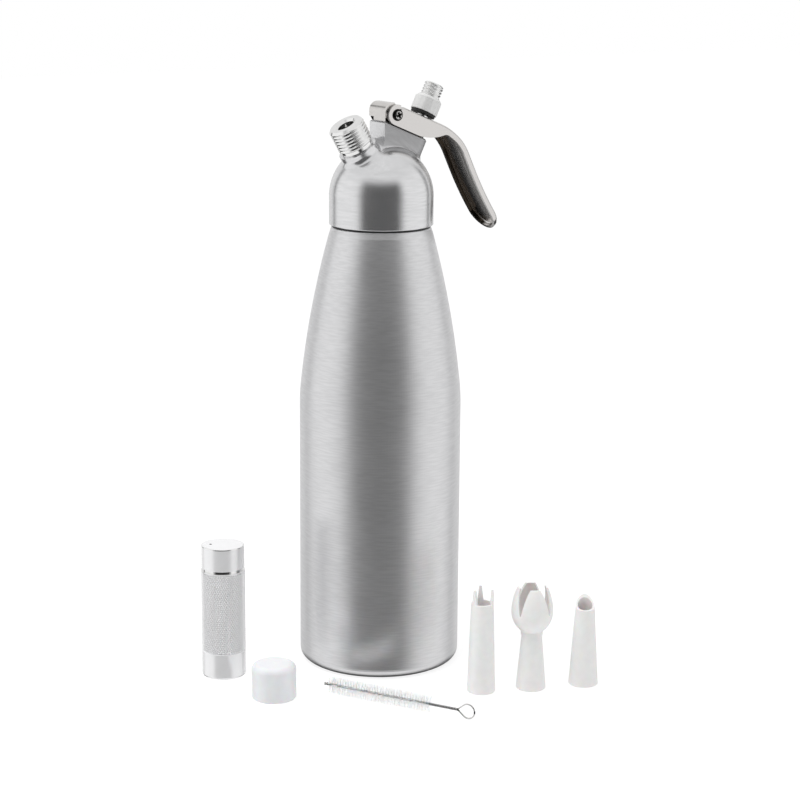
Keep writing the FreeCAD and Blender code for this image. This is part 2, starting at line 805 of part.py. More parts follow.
# ================================================================ tip adaptor
def make_tip_adaptor():
    """Twelve-sided nut on the stem that ends in a thread for the decorating tips."""
    top = nut_top + tip_thread_length
    sides = prism(nut_sides, nut_flats, nut_bottom, nut_top)
    crown = turned((0, nut_bottom), (nut_r, nut_bottom), (nut_r, nut_top - nut_chamfer),
                   (nut_r - nut_chamfer, nut_top), (0, nut_top))
    stub = turned((0, nut_bottom), (tip_thread_r, nut_bottom),
                  (tip_thread_r, top - tip_thread_chamfer),
                  (tip_thread_r - tip_thread_chamfer, top), (0, top))
    shelf = stem_top + adaptor_gasket_thickness
    hollow = [rod(nut_recess_r, nut_bottom, nut_bottom + nut_recess), rod(stem_r, nut_bottom, shelf),
              rod(adaptor_bore_r, nut_bottom, top), rod(tip_mouth_r, nut_top, top)]
    return placed(sides.common(crown).fuse(stub).cut(hollow), valve_frame)


def make_nut_seal():
    """Rubber ring in the nut's recess that keeps cream out of the lever."""
    seal = ring(nut_recess_r, stem_r, nut_bottom - nut_seal_drop, nut_bottom + nut_recess)
    return placed(seal, valve_frame)


def make_adaptor_gasket():
    washer = ring(stem_r, stem_bore_r, stem_top, stem_top + adaptor_gasket_thickness)
    return placed(washer, valve_frame)


# ================================================================ charger holder and cap
def make_charger_holder():
    """Sleeve that holds a charger and screws onto the inlet, standing on its open end."""
    groove_r = holder_r - holder_groove_depth
    sleeve = turned(
        (0, 0), (holder_r - holder_edge, 0), (holder_r, holder_edge),
        (holder_r, holder_groove_bottom), (groove_r, holder_groove_bottom),
        (groove_r, holder_groove_top), (holder_band_r, holder_groove_top),
        (holder_band_r, holder_height - holder_top_edge),
        (holder_band_r - holder_top_edge, holder_height), (0, holder_height))
    x, y = on_circle((0, 0), vent_offset, vent_bearing)
    hollow = [rod(cap_bore_r, 0, holder_thread_depth), rod(holder_bore_r, 0, holder_bore_depth),
              rod(vent_r, 0, holder_height, x, y)]
    place = standing(holder_stand_gap, holder_stand_bearing, holder_r)
    return placed(sleeve.cut(hollow), place)


def make_protective_cap():
    """Cap that covers the inlet's thread when no charger is on it."""
    corner = (cap_r - cap_round, cap_height - cap_round)
    cap = turned((0, 0), (cap_r, 0), (cap_r, corner[1]),
                 (on_circle(corner, cap_round, 45), (corner[0], cap_height)), (0, cap_height))
    place = standing(cap_stand_gap, cap_stand_bearing, cap_r)
    return placed(cap.cut(rod(cap_bore_r, 0, cap_bore_depth)), place)


# ================================================================ decorating tips
def upright_arc(widest, end):
    """Middle of the arc that stands upright at its widest point and runs to its end."""
    radius = ((end[0] - widest[0]) ** 2 + (end[1] - widest[1]) ** 2) / (2 * (widest[0] - end[0]))
    centre = (widest[0] - radius, widest[1])
    sweep = math.degrees(math.atan2(end[1] - widest[1], end[0] - centre[0]))
    return on_circle(centre, radius, sweep / 2)


def spokes(face, length, count, bearing):
    """An XZ outline run out sideways from the axis, repeated evenly round it."""
    spoke = face.extrude(Y * length)
    fan = []
    for i in range(count):
        fan.append(placed(spoke, Placement(ORIGIN, Rotation(Z, bearing - 90 + 360.0 * i / count))))
    return fan[0].fuse(fan[1:])


def make_tip_prongs():
    """Tip that ends in three thin prongs."""
    outer = turned((0, 0), (prongs_base_r - tip_edge, 0), (prongs_base_r, tip_edge),
                   (prongs_top_r, prongs_tube_height), (prongs_top_r, prongs_height),
                   (0, prongs_height))
    bore_r = prongs_top_r - tip_wall
    hollow = turned((0, -1), (tip_socket_r, -1), (tip_socket_r, tip_socket_depth),
                    (bore_r, prongs_tube_height), (bore_r, prongs_height + 1),
                    (0, prongs_height + 1))
    prong = outline((-prong_root_width / 2, prongs_tube_height),
                    (prong_root_width / 2, prongs_tube_height),
                    (prong_end_width / 2, prongs_height), (-prong_end_width / 2, prongs_height))
    crown = rod(prongs_base_r, prongs_tube_height, prongs_height)
    crown = crown.cut(spokes(prong, prongs_base_r, prong_count, prong_bearing))
    place = standing(prongs_stand_gap, prongs_stand_bearing, prongs_base_r)
    return placed(outer.cut([hollow, crown]), place)


def make_tip_tulip():
    """Tip that ends in a cup of four petals."""
    collar_r_top = tulip_neck_r + tulip_collar
    collar_z = tulip_neck_height + tulip_collar_height
    widest = (tulip_bulb_r, tulip_bulb_height)
    low = (collar_r_top, collar_z)
    high = (tulip_top_r, tulip_height)
    outer = turned((0, 0), (tulip_base_r - tip_edge, 0), (tulip_base_r, tip_edge),
                   (tulip_neck_r, tulip_neck_height), (collar_r_top, tulip_neck_height), low,
                   (upright_arc(widest, low), widest), (upright_arc(widest, high), high),
                   (0, tulip_height))
    widest = (tulip_bulb_r - tip_wall, tulip_bulb_height)
    low = (tulip_neck_r - tip_wall, collar_z)
    high = (tulip_top_r - tip_wall, tulip_height)
    hollow = turned((0, -1), (tip_socket_r, -1), (tip_socket_r, tip_socket_depth),
                    (tulip_neck_r - tip_wall, tulip_neck_height), low,
                    (upright_arc(widest, low), widest), (upright_arc(widest, high), high),
                    (high[0], tulip_height + 1), (0, tulip_height + 1))
    notch = outline((-tulip_slit / 2, tulip_slit_foot), (tulip_slit / 2, tulip_slit_foot),
                    (tulip_gap / 2, tulip_height + 1), (-tulip_gap / 2, tulip_height + 1))
    gaps = spokes(notch, 2 * tulip_bulb_r, tulip_petals, tulip_bearing + 180.0 / tulip_petals)
    place = standing(tulip_stand_gap, tulip_stand_bearing, tulip_base_r)
    return placed(outer.cut([hollow, gaps]), place)


def make_tip_plain():
    """Round tip whose end is scooped to one side."""
    outer = turned((0, 0), (plain_base_r - tip_edge, 0), (plain_base_r, tip_edge),
                   (plain_top_r, plain_height), (0, plain_height))
    bore_r = plain_top_r - tip_wall
    hollow = turned((0, -1), (tip_socket_r, -1), (tip_socket_r, tip_socket_depth),
                    (bore_r, plain_height), (bore_r, plain_height + 1), (0, plain_height + 1))
    sag = (0, (plain_height + plain_front_height) / 2 - plain_scoop)
    scoop = plate(outline((-plain_top_r, plain_height), (sag, (plain_top_r, plain_front_height)),
                          (plain_base_r, plain_front_height), (plain_base_r, plain_height + 1),
                          (-plain_top_r, plain_height + 1)), plain_base_r)
    scoop = placed(scoop, Placement(ORIGIN, Rotation(Z, plain_bearing)))
    place = standing(plain_stand_gap, plain_stand_bearing, plain_base_r)
    return placed(outer.cut([hollow, scoop]), place)


# ================================================================ cleaning brush
brush_frame = Placement(Vector(brush_tip_x, brush_tip_y, bristle_r), Rotation(Z, brush_heading))


def make_brush_wire():
    """Twisted wire that carries the bristles; its two strands part into a pear-shaped loop."""
    eye = (brush_length + brush_loop_reach, 0)
    lean = math.degrees(math.asin(brush_loop_r / brush_loop_reach))
    touch = on_circle(eye, brush_loop_r, 90 + lean)
    low = (touch[0], -touch[1])
    join = Vector(brush_length, 0, 0)
    path = Part.Wire([
        Part.LineSegment(join, Vector(touch[0], 0, touch[1])).toShape(),
        Part.Arc(Vector(touch[0], 0, touch[1]), Vector(eye[0] + brush_loop_r, 0, 0),
                 Vector(low[0], 0, low[1])).toShape(),
        Part.LineSegment(Vector(low[0], 0, low[1]), join).toShape()])
    section = Part.Wire(Part.makeCircle(brush_loop_wire_r, join, Vector(touch[0], 0, touch[1]) - join))
    loop = path.makePipeShell([section], True, True)
    shaft = Part.makeCylinder(brush_wire_r, brush_length, ORIGIN, X)
    return placed(shaft.fuse([loop, Part.makeSphere(brush_wire_r, join)]), brush_frame)


def make_brush_bristles():
    start = X * bristle_start
    tuft = Part.makeCylinder(bristle_r, bristle_length, start, X)
    return placed(tuft.cut(Part.makeCylinder(brush_wire_r, bristle_length, start, X)), brush_frame)


# ================================================================ nodes
NODES = {
    "bottle": make_bottle(),
    "neck_ring": make_neck_ring(),
    "head": make_head(),
    "head_gasket": make_head_gasket(),
    "charger_inlet": make_charger_inlet(),
    "inlet_gasket": make_inlet_gasket(),
    "piercing_pin": make_piercing_pin(),
    "check_valve": make_check_valve(),
    "inlet_nut": make_inlet_nut(),
    "hinge_block": make_hinge_block(),
    "hinge_bolt": make_hinge_bolt(),
    "lever": make_lever(),
    "pivot_screw": make_pivot_screw(),
    "pivot_nut": make_pivot_nut(),
    "valve_guide": make_valve_guide(),
    "stem_ring_lower": make_stem_ring(0),
    "stem_ring_upper": make_stem_ring(1),
    "valve_stem": make_valve_stem(),
    "valve_seal": make_valve_seal(),
    "valve_spring": make_valve_spring(),
    "tip_adaptor": make_tip_adaptor(),
    "adaptor_gasket": make_adaptor_gasket(),
    "nut_seal": make_nut_seal(),
    "charger_holder": make_charger_holder(),
    "protective_cap": make_protective_cap(),
    "tip_prongs": make_tip_prongs(),
    "tip_tulip": make_tip_tulip(),
    "tip_plain": make_tip_plain(),
    "brush_wire": make_brush_wire(),
    "brush_bristles": make_brush_bristles(),
}


def single(shape):
    """The one solid of a node, out of the compound that a boolean returns."""
    return shape.Solids[0] if len(shape.Solids) == 1 else shape


os.makedirs("parts", exist_ok=True)
for name, shape in NODES.items():
    single(shape).exportStep(os.path.join("parts", name + ".step"))
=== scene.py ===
# %% [markdown]
# # A whipped cream dispenser with a side lever
# This notebook dresses a finished CAD model. The model gives the true sizes and the
# moving parts; the cells below give its pieces the threads, the knurl, the bristles and
# the metals and plastics that a maker would give them. Every length is in metres.

# %% Load the frame
import bmesh
import bpy
import math
from mathutils import Matrix, Vector


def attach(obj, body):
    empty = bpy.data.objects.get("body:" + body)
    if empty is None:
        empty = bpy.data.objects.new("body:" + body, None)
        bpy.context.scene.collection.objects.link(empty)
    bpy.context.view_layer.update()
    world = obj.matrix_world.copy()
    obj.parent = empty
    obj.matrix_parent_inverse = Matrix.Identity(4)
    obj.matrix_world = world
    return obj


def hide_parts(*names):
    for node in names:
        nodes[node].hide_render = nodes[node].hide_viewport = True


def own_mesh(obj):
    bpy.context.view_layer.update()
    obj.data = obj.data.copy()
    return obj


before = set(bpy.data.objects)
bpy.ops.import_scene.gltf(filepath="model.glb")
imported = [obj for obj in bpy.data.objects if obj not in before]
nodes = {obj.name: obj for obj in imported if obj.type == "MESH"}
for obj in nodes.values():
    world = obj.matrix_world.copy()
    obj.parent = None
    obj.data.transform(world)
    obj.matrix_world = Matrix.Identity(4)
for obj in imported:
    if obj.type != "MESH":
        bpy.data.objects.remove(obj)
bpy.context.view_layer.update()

# %% [markdown]
# ## Sizes that the turned pieces share
# A turned piece is drawn by its outline: pairs of radius and height. Those pairs are easier
# to read in millimetres, so they are kept that way and scaled once, when a mesh is made.
# Two pieces lean: the charger inlet to the rear and the valve to the front.

# %% Shared sizes
MM = 0.001
DOME, PIVOT = 264.1, (4.1, 0.0, 308.6)
INLET_TILT, VALVE_TILT, VALVE_CROSS = -30.5, 26.3, -11.3


def shift(x, y, z):
    """A move given in millimetres."""
    return Matrix.Translation((x * MM, y * MM, z * MM))


def rotate(degrees, axis):
    """A turn about an axis."""
    return Matrix.Rotation(math.radians(degrees), 4, axis)


inlet_axis = shift(0, 0, DOME) @ rotate(INLET_TILT, "Y")
valve_axis = shift(0, 0, DOME + VALVE_CROSS) @ rotate(VALVE_TILT, "Y")
print("inlet leans", INLET_TILT, "and the valve", VALVE_TILT, "degrees")

# %% [markdown]
# ## The camera
# A product shot of something tall is taken from far away with a long lens, a little above,
# so that upright edges stay nearly parallel. The lens is worked out from a focal length in
# pixels for a picture 800 pixels wide, and a roll of under half a degree tips the view.

# %% Camera
YAW, PITCH_DOWN, ROLL = math.radians(34.0), 0.226, 0.00768
DISTANCE, LENS_HEIGHT, SIDESTEP = 1.166366, 0.417429, 0.011076
FOCAL_PIXELS, PICTURE, SENSOR = 2137.65, 800, 36


def toward(x, y, z):
    """A direction given as right, away and up in the picture, in the model's own axes."""
    return Vector((x * math.cos(YAW) + y * math.sin(YAW),
                   -x * math.sin(YAW) + y * math.cos(YAW), z))


def show(name, data):
    """A new object in the scene."""
    thing = bpy.data.objects.new(name, data)
    bpy.context.scene.collection.objects.link(thing)
    return thing


right = toward(1, 0, 0)
ahead = toward(0, math.cos(PITCH_DOWN), -math.sin(PITCH_DOWN))
aim = Matrix((right, right.cross(ahead), -ahead)).transposed() @ Matrix.Rotation(ROLL, 3, "Z")
camera = show("camera", bpy.data.cameras.new("camera"))
camera.matrix_world = Matrix.Translation(toward(SIDESTEP, -DISTANCE, LENS_HEIGHT)) @ aim.to_4x4()
camera.data.sensor_width = SENSOR
camera.data.lens = FOCAL_PIXELS * SENSOR / PICTURE
bpy.context.scene.camera = camera
print("lens", round(camera.data.lens, 1), "mm")

# %% [markdown]
# ## Small helpers for building nodes
# Node trees are long to write one call at a time. `add` makes a node, sets it up and wires
# it in one line: an input may be a number or another node's output. The others are short
# names for the nodes that are used most; they work in the tree that their inputs are in.

# %% Node helpers
def add(tree, kind, inputs=None, **settings):
    """A new node with its settings and its inputs, each a value or another output."""
    node = tree.nodes.new(kind)
    for name, value in settings.items():
        setattr(node, name, value)
    for key, value in (inputs or {}).items():
        if isinstance(value, bpy.types.NodeSocket):
            tree.links.new(value, node.inputs[key])
        else:
            node.inputs[key].default_value = value
    return node


def get(tree, kind, inputs=None, **settings):
    """The first output of a new node."""
    return add(tree, kind, inputs, **settings).outputs[0]


def tree_of(values):
    """The tree that holds the first output among some values."""
    return next(v for v in values if isinstance(v, bpy.types.NodeSocket)).id_data


def calc(operation, *values):
    """The output of one Math node, in the tree of the values."""
    return get(tree_of(values), "ShaderNodeMath", dict(enumerate(values)), operation=operation)


def times(*values):
    """The product of two or more values."""
    product = values[0]
    for value in values[1:]:
        product = calc("MULTIPLY", product, value)
    return product


def vector(operation, *values, **named):
    """The output of one Vector Math node; a length or a dot product is a number."""
    inputs = {**dict(enumerate(values)), **named}
    node = add(tree_of(inputs.values()), "ShaderNodeVectorMath", inputs, operation=operation)
    return node.outputs["Value" if operation in ("LENGTH", "DOT_PRODUCT") else 0]


def split(whole):
    """A vector's X, Y and Z."""
    return add(whole.id_data, "ShaderNodeSeparateXYZ", {0: whole}).outputs


def joined(*values):
    """A vector made of up to three values."""
    return get(tree_of(values), "ShaderNodeCombineXYZ", dict(enumerate(values)))


def ease(value, low, high, bottom=0.0, top=1.0):
    """Goes from bottom to top between two levels of a value, with a smooth step."""
    return get(value.id_data, "ShaderNodeMapRange",
               {0: value, 1: low, 2: high, 3: bottom, 4: top}, interpolation_type="SMOOTHSTEP")


def new_group(kind, name, inputs, outputs):
    """An empty node group with its sockets, and its two ends.

    A socket is given by its usual value, or by its kind where it has none.
    """
    group = bpy.data.node_groups.new(name, kind)
    for side, sockets in (("INPUT", inputs), ("OUTPUT", outputs)):
        for label, value in sockets.items():
            sort = value if isinstance(value, str) else type(value).__name__.title()
            socket = group.interface.new_socket(label, in_out=side,
                                                socket_type="NodeSocket" + sort)
            if sort != value:
                socket.default_value = value
    return group, group.nodes.new("NodeGroupInput").outputs, group.nodes.new("NodeGroupOutput")


print("node helpers ready")

# %% [markdown]
# ## Studio
# Bare metal has hardly a colour of its own: it shows the room. The studio round this
# object is a white tent with an open front, so a dark gap stands behind the camera, and a
# broad dark band runs down every upright metal piece. Each list below holds shades from
# the front, at 0, to the back, at 1. The tent is painted on the world, by direction,
# because lamps would leave hard edges in the polished pieces. The camera itself sees plain
# pale paper instead.

# %% Tent: its shades, and where a ray looks
TENT = ((0.0, 0.035), (0.21, 0.045), (0.255, 0.42), (0.31, 0.90), (0.60, 0.92), (0.66, 0.88),
        (0.68, 0.10), (0.71, 0.10), (0.735, 0.80), (1.0, 0.80))
GROUND = ((0.0, 0.90), (0.60, 0.90), (0.66, 0.015), (1.0, 0.01))
ROOF, ROOF_SPAN = 0.78, (0.36, 0.74)
EDGE_FRONT, EDGE_BACK, EDGE_SOFT, EDGE_CLIMB = -0.54, -0.40, 0.04, (1.7, 2.1)
TENT_LIGHT, PAPER = 1.0, 1.0
world = bpy.data.worlds.new("white tent")
bpy.context.scene.world = world
world.use_nodes = True
sky = world.node_tree
sky.nodes.clear()
look = add(sky, "ShaderNodeTexCoord").outputs["Generated"]
way = split(get(sky, "ShaderNodeVectorRotate", {
    "Vector": look, "Angle": YAW + math.pi / 2}, rotation_type="Z_AXIS"))
sideways = calc("ABSOLUTE", calc("ARCTAN2", way["Y"], way["X"]))
print("the tent has", len(TENT), "shades and the ground", len(GROUND))

# %% World
def painted_round(shades):
    """Shades painted from the front, at 0, round both sides to the back, at 1."""
    ramp = add(sky, "ShaderNodeValToRGB", {0: calc("DIVIDE", sideways, math.pi)})
    ramp.color_ramp.interpolation = "EASE"
    for place, _ in shades[1:-1]:
        ramp.color_ramp.elements.new(place)
    for element, (place, shade) in zip(ramp.color_ramp.elements, shades):
        element.position = place
        element.color = (shade, shade, shade, 1)
    return ramp.outputs[0]


roofed = ease(way["Z"], *ROOF_SPAN, painted_round(TENT), ROOF)
edge = ease(sideways, *EDGE_CLIMB, EDGE_FRONT, EDGE_BACK)
closed_below = ease(calc("SUBTRACT", way["Z"], edge), -EDGE_SOFT, EDGE_SOFT,
                    painted_round(GROUND), roofed)
tent_light = get(sky, "ShaderNodeBackground", {0: closed_below, 1: TENT_LIGHT})
paper = get(sky, "ShaderNodeBackground", {0: (1, 1, 1, 1), 1: PAPER})
seen = add(sky, "ShaderNodeLightPath").outputs["Is Camera Ray"]
add(sky, "ShaderNodeOutputWorld",
    {0: get(sky, "ShaderNodeMixShader", {0: seen, 1: tent_light, 2: paper})})
bpy.context.scene.view_settings.view_transform = "Standard"
print("world has", len(sky.nodes), "nodes")

# %% [markdown]
# ## Table
# The object stands on white paper. The paper glows a little, as paper in a light tent does,
# so it stays pale and takes only a soft shadow. Polished metal doesn't mirror it: mirrored
# rays pass through to the tent, which keeps the dark band whole down to the foot.

# %% Table
HALF, SHEET_SHADE, SHEET_GLOW = 4.0, 0.25, 0.83
floor_mesh = bpy.data.meshes.new("table")
floor_mesh.from_pydata([(-HALF, -HALF, 0), (HALF, -HALF, 0), (HALF, HALF, 0), (-HALF, HALF, 0)],
                       [], [(0, 1, 2, 3)])
table = show("table", floor_mesh)
paper_sheet = bpy.data.materials.new("white paper")
paper_sheet.use_nodes = True
sheet = paper_sheet.node_tree
sheet.nodes.clear()
dull = get(sheet, "ShaderNodeBsdfDiffuse", {
    0: (SHEET_SHADE, SHEET_SHADE, SHEET_SHADE, 1)})
glow = get(sheet, "ShaderNodeEmission", {0: (1, 1, 1, 1), 1: SHEET_GLOW})
lit = get(sheet, "ShaderNodeAddShader", {0: dull, 1: glow})
clear = get(sheet, "ShaderNodeBsdfTransparent")
mirrored = add(sheet, "ShaderNodeLightPath").outputs["Is Glossy Ray"]
add(sheet, "ShaderNodeOutputMaterial",
    {0: get(sheet, "ShaderNodeMixShader", {0: mirrored, 1: lit, 2: clear})})
floor_mesh.materials.append(paper_sheet)
print("table is", 2 * HALF, "m wide")

# %% [markdown]
# One large soft lamp high on the left gives the tent's light a direction. The metals don't
# mirror it.

# %% Lamp
LAMP_SIZE, LAMP_WATTS, LAMP_AIM = 0.9, 10, Vector((0, 0, 0.12))
lamp = show("soft box", bpy.data.lights.new("soft box", "AREA"))
lamp.data.size = LAMP_SIZE
lamp.data.energy = LAMP_WATTS
lamp.visible_glossy = False
lamp.location = toward(-0.35, -0.25, 1.3)
lamp.rotation_euler = (LAMP_AIM - lamp.location).to_track_quat("-Z", "Y").to_euler()
print("lamp is", LAMP_SIZE, "m wide")

# %% [markdown]
# ## Finishes: what several materials share
# Three effects turn up again and again, so each is a node group that is built once:
# brushing round an axis, the grain of a blasted, cast or moulded skin, and the faint smears
# that hands leave. Brushing is noise stretched round the axis: the angle enters as a point
# on a small circle, which closes without a seam, and height plus radius enters across it,
# so that upright walls and flat ends both get rings.

# %% Effect: brushing round an axis
brushing, ends, out = new_group(
    "ShaderNodeTree", "Brushing round an axis",
    {"Vector": "Vector", "Lines per metre": 3000.0, "Length": 3.0},
    {"Height": "Float", "Streaks": "Float"})
apart = split(ends["Vector"])
level = joined(apart["X"], apart["Y"])
along = times(calc("ADD", apart["Z"], vector("LENGTH", level)), ends["Lines per metre"])
place = split(vector("SCALE", vector("NORMALIZE", level), Scale=ends["Length"]))
fine = joined(place["X"], place["Y"], along)
broad = joined(place["X"], place["Y"], times(along, 0.5))
for label, spots, detail in (("Height", fine, 3.0), ("Streaks", broad, 2.0)):
    brushing.links.new(get(brushing, "ShaderNodeTexNoise", {
        "Vector": spots, "Scale": 1.0, "Detail": detail}), out.inputs[label])
print("brushing has", len(brushing.nodes), "nodes")

# %% Effects: grain and smears
grain, ends, out = new_group(
    "ShaderNodeTree", "Blasted grain",
    {"Vector": "Vector", "Grains per metre": 4000.0}, {"Height": "Float", "Tone": "Float"})
pits = get(grain, "ShaderNodeTexVoronoi", {"Vector": ends["Vector"],
                                           "Scale": ends["Grains per metre"]})
cloud = get(grain, "ShaderNodeTexNoise", {
    "Vector": ends["Vector"], "Detail": 4.0,
    "Scale": times(ends["Grains per metre"], 0.2)})
grain.links.new(calc("ADD", times(pits, 0.6), times(cloud, 0.4)), out.inputs["Height"])
grain.links.new(cloud, out.inputs["Tone"])

smears, ends, out = new_group(
    "ShaderNodeTree", "Smears of hands",
    {"Vector": "Vector", "Size": 60.0, "Least": 0.2, "Most": 0.3}, {"Roughness": "Float"})
smear = get(smears, "ShaderNodeTexNoise", {"Vector": ends["Vector"], "Scale": ends["Size"],
                                           "Detail": 3.0, "Distortion": 0.4})
smears.links.new(ease(smear, 0.35, 0.7, ends["Least"], ends["Most"]),
                 out.inputs["Roughness"])
print("grain and smears ready")

# %% [markdown]
# ## Metals
# Every metal is one Principled shader. What tells metals apart is the roughness and the
# direction of their fine marks. The finest marks also scatter some light evenly, so a metal
# with such a haze has its Metallic somewhat under 1. The constants sit on the shader
# itself; only what changes over the surface comes through the groups.

# %% Material helpers
def finish(name, colour, roughness, metallic=1.0, **constants):
    """A material with one Principled shader, and its parts that later lines wire up."""
    material = bpy.data.materials.new(name)
    material.use_nodes = True
    tree = material.node_tree
    shader = tree.nodes["Principled BSDF"]
    shader.inputs["Base Color"].default_value = (*colour, 1)
    shader.inputs["Roughness"].default_value = roughness
    shader.inputs["Metallic"].default_value = metallic
    for label, value in constants.items():
        shader.inputs[label.replace("_", " ").title()].default_value = value
    return material, tree, shader


def use(tree, group, **inputs):
    """A group placed in a material."""
    node = add(tree, "ShaderNodeGroup", node_tree=group)
    for label, value in inputs.items():
        socket = node.inputs[label.replace("_", " ").capitalize()]
        if isinstance(value, bpy.types.NodeSocket):
            tree.links.new(value, socket)
        else:
            socket.default_value = value
    return node.outputs


def own_space(tree, axis=None):
    """Object coordinates, or those of a leaning axis."""
    spot = add(tree, "ShaderNodeTexCoord").outputs["Object"]
    if axis is None:
        return spot
    return get(tree, "ShaderNodeMapping", {0: spot, 1: axis.to_translation(),
                                           2: axis.to_euler()}, vector_type="TEXTURE")


def emboss(tree, shader, height, depth):
    """Raises the surface by a height pattern, to a depth in metres."""
    bump = get(tree, "ShaderNodeBump", {"Height": height, "Distance": depth, "Strength": 1.0})
    tree.links.new(bump, shader.inputs["Normal"])


def tinted(tree, shader, colour, shade):
    """A base colour scaled by a shade that changes over the surface."""
    tree.links.new(vector("SCALE", colour, Scale=shade), shader.inputs["Base Color"])


def smeared(tree, shader, spot, size, least, most):
    """Roughness that wanders between two values."""
    worn = use(tree, smears, vector=spot, size=size, least=least, most=most)
    tree.links.new(worn["Roughness"], shader.inputs["Roughness"])


def spun(tree, shader):
    """Gloss stretched along the axis, as on a piece that is spun against a belt."""
    tree.links.new(get(tree, "ShaderNodeTangent", direction_type="RADIAL", axis="Z"),
                   shader.inputs["Tangent"])


print("material helpers ready")

# %% [markdown]
# The bottle is spun against an abrasive belt, which leaves fine lines all round and spreads
# each highlight up and down but hardly sideways. Anisotropic gloss with a radial tangent
# does the same. The lowest few millimetres of the bottle carry painted shade, darker than the
# metal above, so its foot doesn't mirror the bright ground. The holder is turned, and shows
# its lines less than it shows a pale haze.

# %% Brushed and turned metals
ALUMINIUM, HOLDER = (0.80, 0.80, 0.81), (0.92, 0.92, 0.93)
NOISE_SPAN, FOOT_SHADE_BAND = (0.3, 0.7), (0.001, 0.0045)


def brushed(name, colour, rough, depth, lines, length, axis=None, tone=0.06, lean=0.5,
            haze=0.0, foot=1.0):
    """Metal with fine lines round an axis, and the even haze that very fine ones add.

    The foot is the painted shade at the bottom of the foot band; above the band it is 1.
    """
    material, tree, shader = finish(name, colour, rough, 1.0 - haze, anisotropic=lean)
    spot = own_space(tree, axis)
    marks = use(tree, brushing, vector=spot, lines_per_metre=lines, length=length)
    emboss(tree, shader, marks["Height"], depth)
    shade = ease(marks["Streaks"], *NOISE_SPAN, 1.0 - tone, 1.0)
    # Painted shade: the base colour darkens towards the bottom of the foot band.
    if foot < 1.0:
        shade = times(shade, ease(split(spot)["Z"], *FOOT_SHADE_BAND, foot, 1.0))
    tinted(tree, shader, colour, shade)
    smeared(tree, shader, spot, 45.0, rough * 0.96, rough * 1.05)
    spun(tree, shader)
    return material


# foot=0.45 gives the bottle's foot its painted shade.
bottle_metal = brushed("brushed bottle", ALUMINIUM, 0.33, 2.0e-6, 2600, 5.0, tone=0.09, lean=0.6,
                       haze=0.15, foot=0.45)
holder_metal = brushed("turned holder", HOLDER, 0.22, 4e-7, 5000, 6.0, tone=0.03, lean=0.3,
                       haze=0.7)
knurl_metal = brushed("knurled holder", HOLDER, 0.22, 4e-7, 5000, 6.0, tone=0.03, lean=0.0,
                      haze=0.58)
brass = brushed("valve brass", (0.78, 0.60, 0.33), 0.24, 4e-7, 5000, 6.0, valve_axis, lean=0.0)
print("brushed metals ready")

# %% [markdown]
# The head is one casting with two skins: the dome and skirt are turned bright, and the boss
# on top keeps the fine skin of the mould. One material does both. The cast skin lies where
# a point is outside the dome's sphere and well above its middle, and it ends towards the
# rear, where the boss is faced off bright.

# %% Cast and turned head
CAST_REACH, CAST_RISE, CAST_FRONT = (0.0288, 0.0300), (0.004, 0.01), (-0.009, -0.005)
FACED, CAST_DEPTH, CAST_ROUGH, CAST_DARK = -0.97, 9.0, 0.24, 0.36
head_metal, tree, shader = finish("satin head", ALUMINIUM, 0.25, 0.9, anisotropic=0.5)
spot = own_space(tree)
from_dome = vector("SUBTRACT", spot, (0, 0, DOME * MM))
above, forward = split(from_dome)["Z"], split(spot)["X"]
rearward = split(add(tree, "ShaderNodeNewGeometry").outputs["Normal"])["X"]
boss = times(calc("GREATER_THAN", rearward, FACED), ease(forward, *CAST_FRONT))
cast = times(ease(vector("LENGTH", from_dome), *CAST_REACH), ease(above, *CAST_RISE), boss)
print("the cast skin starts", CAST_REACH[0] / MM, "mm from the dome's middle")

# %% The head's two skins
marks = use(tree, brushing, vector=spot, lines_per_metre=2400.0, length=2.6)
skin = use(tree, grain, vector=spot, grains_per_metre=2600.0)
turned_height = times(marks["Height"], calc("SUBTRACT", 1.0, cast))
emboss(tree, shader, calc("ADD", turned_height, times(skin["Height"], cast, CAST_DEPTH)), 1.6e-6)
worn = use(tree, smears, vector=spot, size=50.0, least=0.19, most=0.22)
rough = calc("ADD", worn["Roughness"], times(cast, CAST_ROUGH))
tree.links.new(rough, shader.inputs["Roughness"])
shade = ease(marks["Streaks"], *NOISE_SPAN, 0.93, 1.0)
tinted(tree, shader, ALUMINIUM, calc("SUBTRACT", shade, times(cast, CAST_DARK)))
spun(tree, shader)
print("head metal has", len(tree.nodes), "nodes")

# %% [markdown]
# The lever is stainless steel, pressed from sheet into a channel and buffed. It is a touch
# warmer than aluminium, with almost no visible lines. Three looks of the channel's inside
# are painted instead of modelled, told apart by the way a face points and by its place
# across: the side walls carry painted shade, a dark brown, and towards one side the broad
# face is a little hollow and has less sheen. The hollow is a bump that grows with the
# square of the distance.

# %% Lever steel
LEVER, WALL_PAINTED_SHADE = (0.72, 0.70, 0.685), (0.05, 0.04, 0.03)
INWARD, INWARD_SPAN, WALL_SPAN = (-0.8, 0.0, -0.6), (0.5, 0.8), (0.15, 0.5)
SLOPE_PER_MM, DULL_SPAN, SHEEN_LOST, SKIN_DEPTH = 0.065, (0.004, -0.008), 0.5, 2.5e-7
lever_steel, tree, shader = finish("buffed lever", LEVER, 0.17)
spot = own_space(tree)
facing = add(tree, "ShaderNodeNewGeometry").outputs["Normal"]
under = ease(vector("DOT_PRODUCT", facing, INWARD), *INWARD_SPAN)
across = split(spot)["Y"]
turned_in = times(calc("SIGN", across), split(facing)["Y"], -1.0)
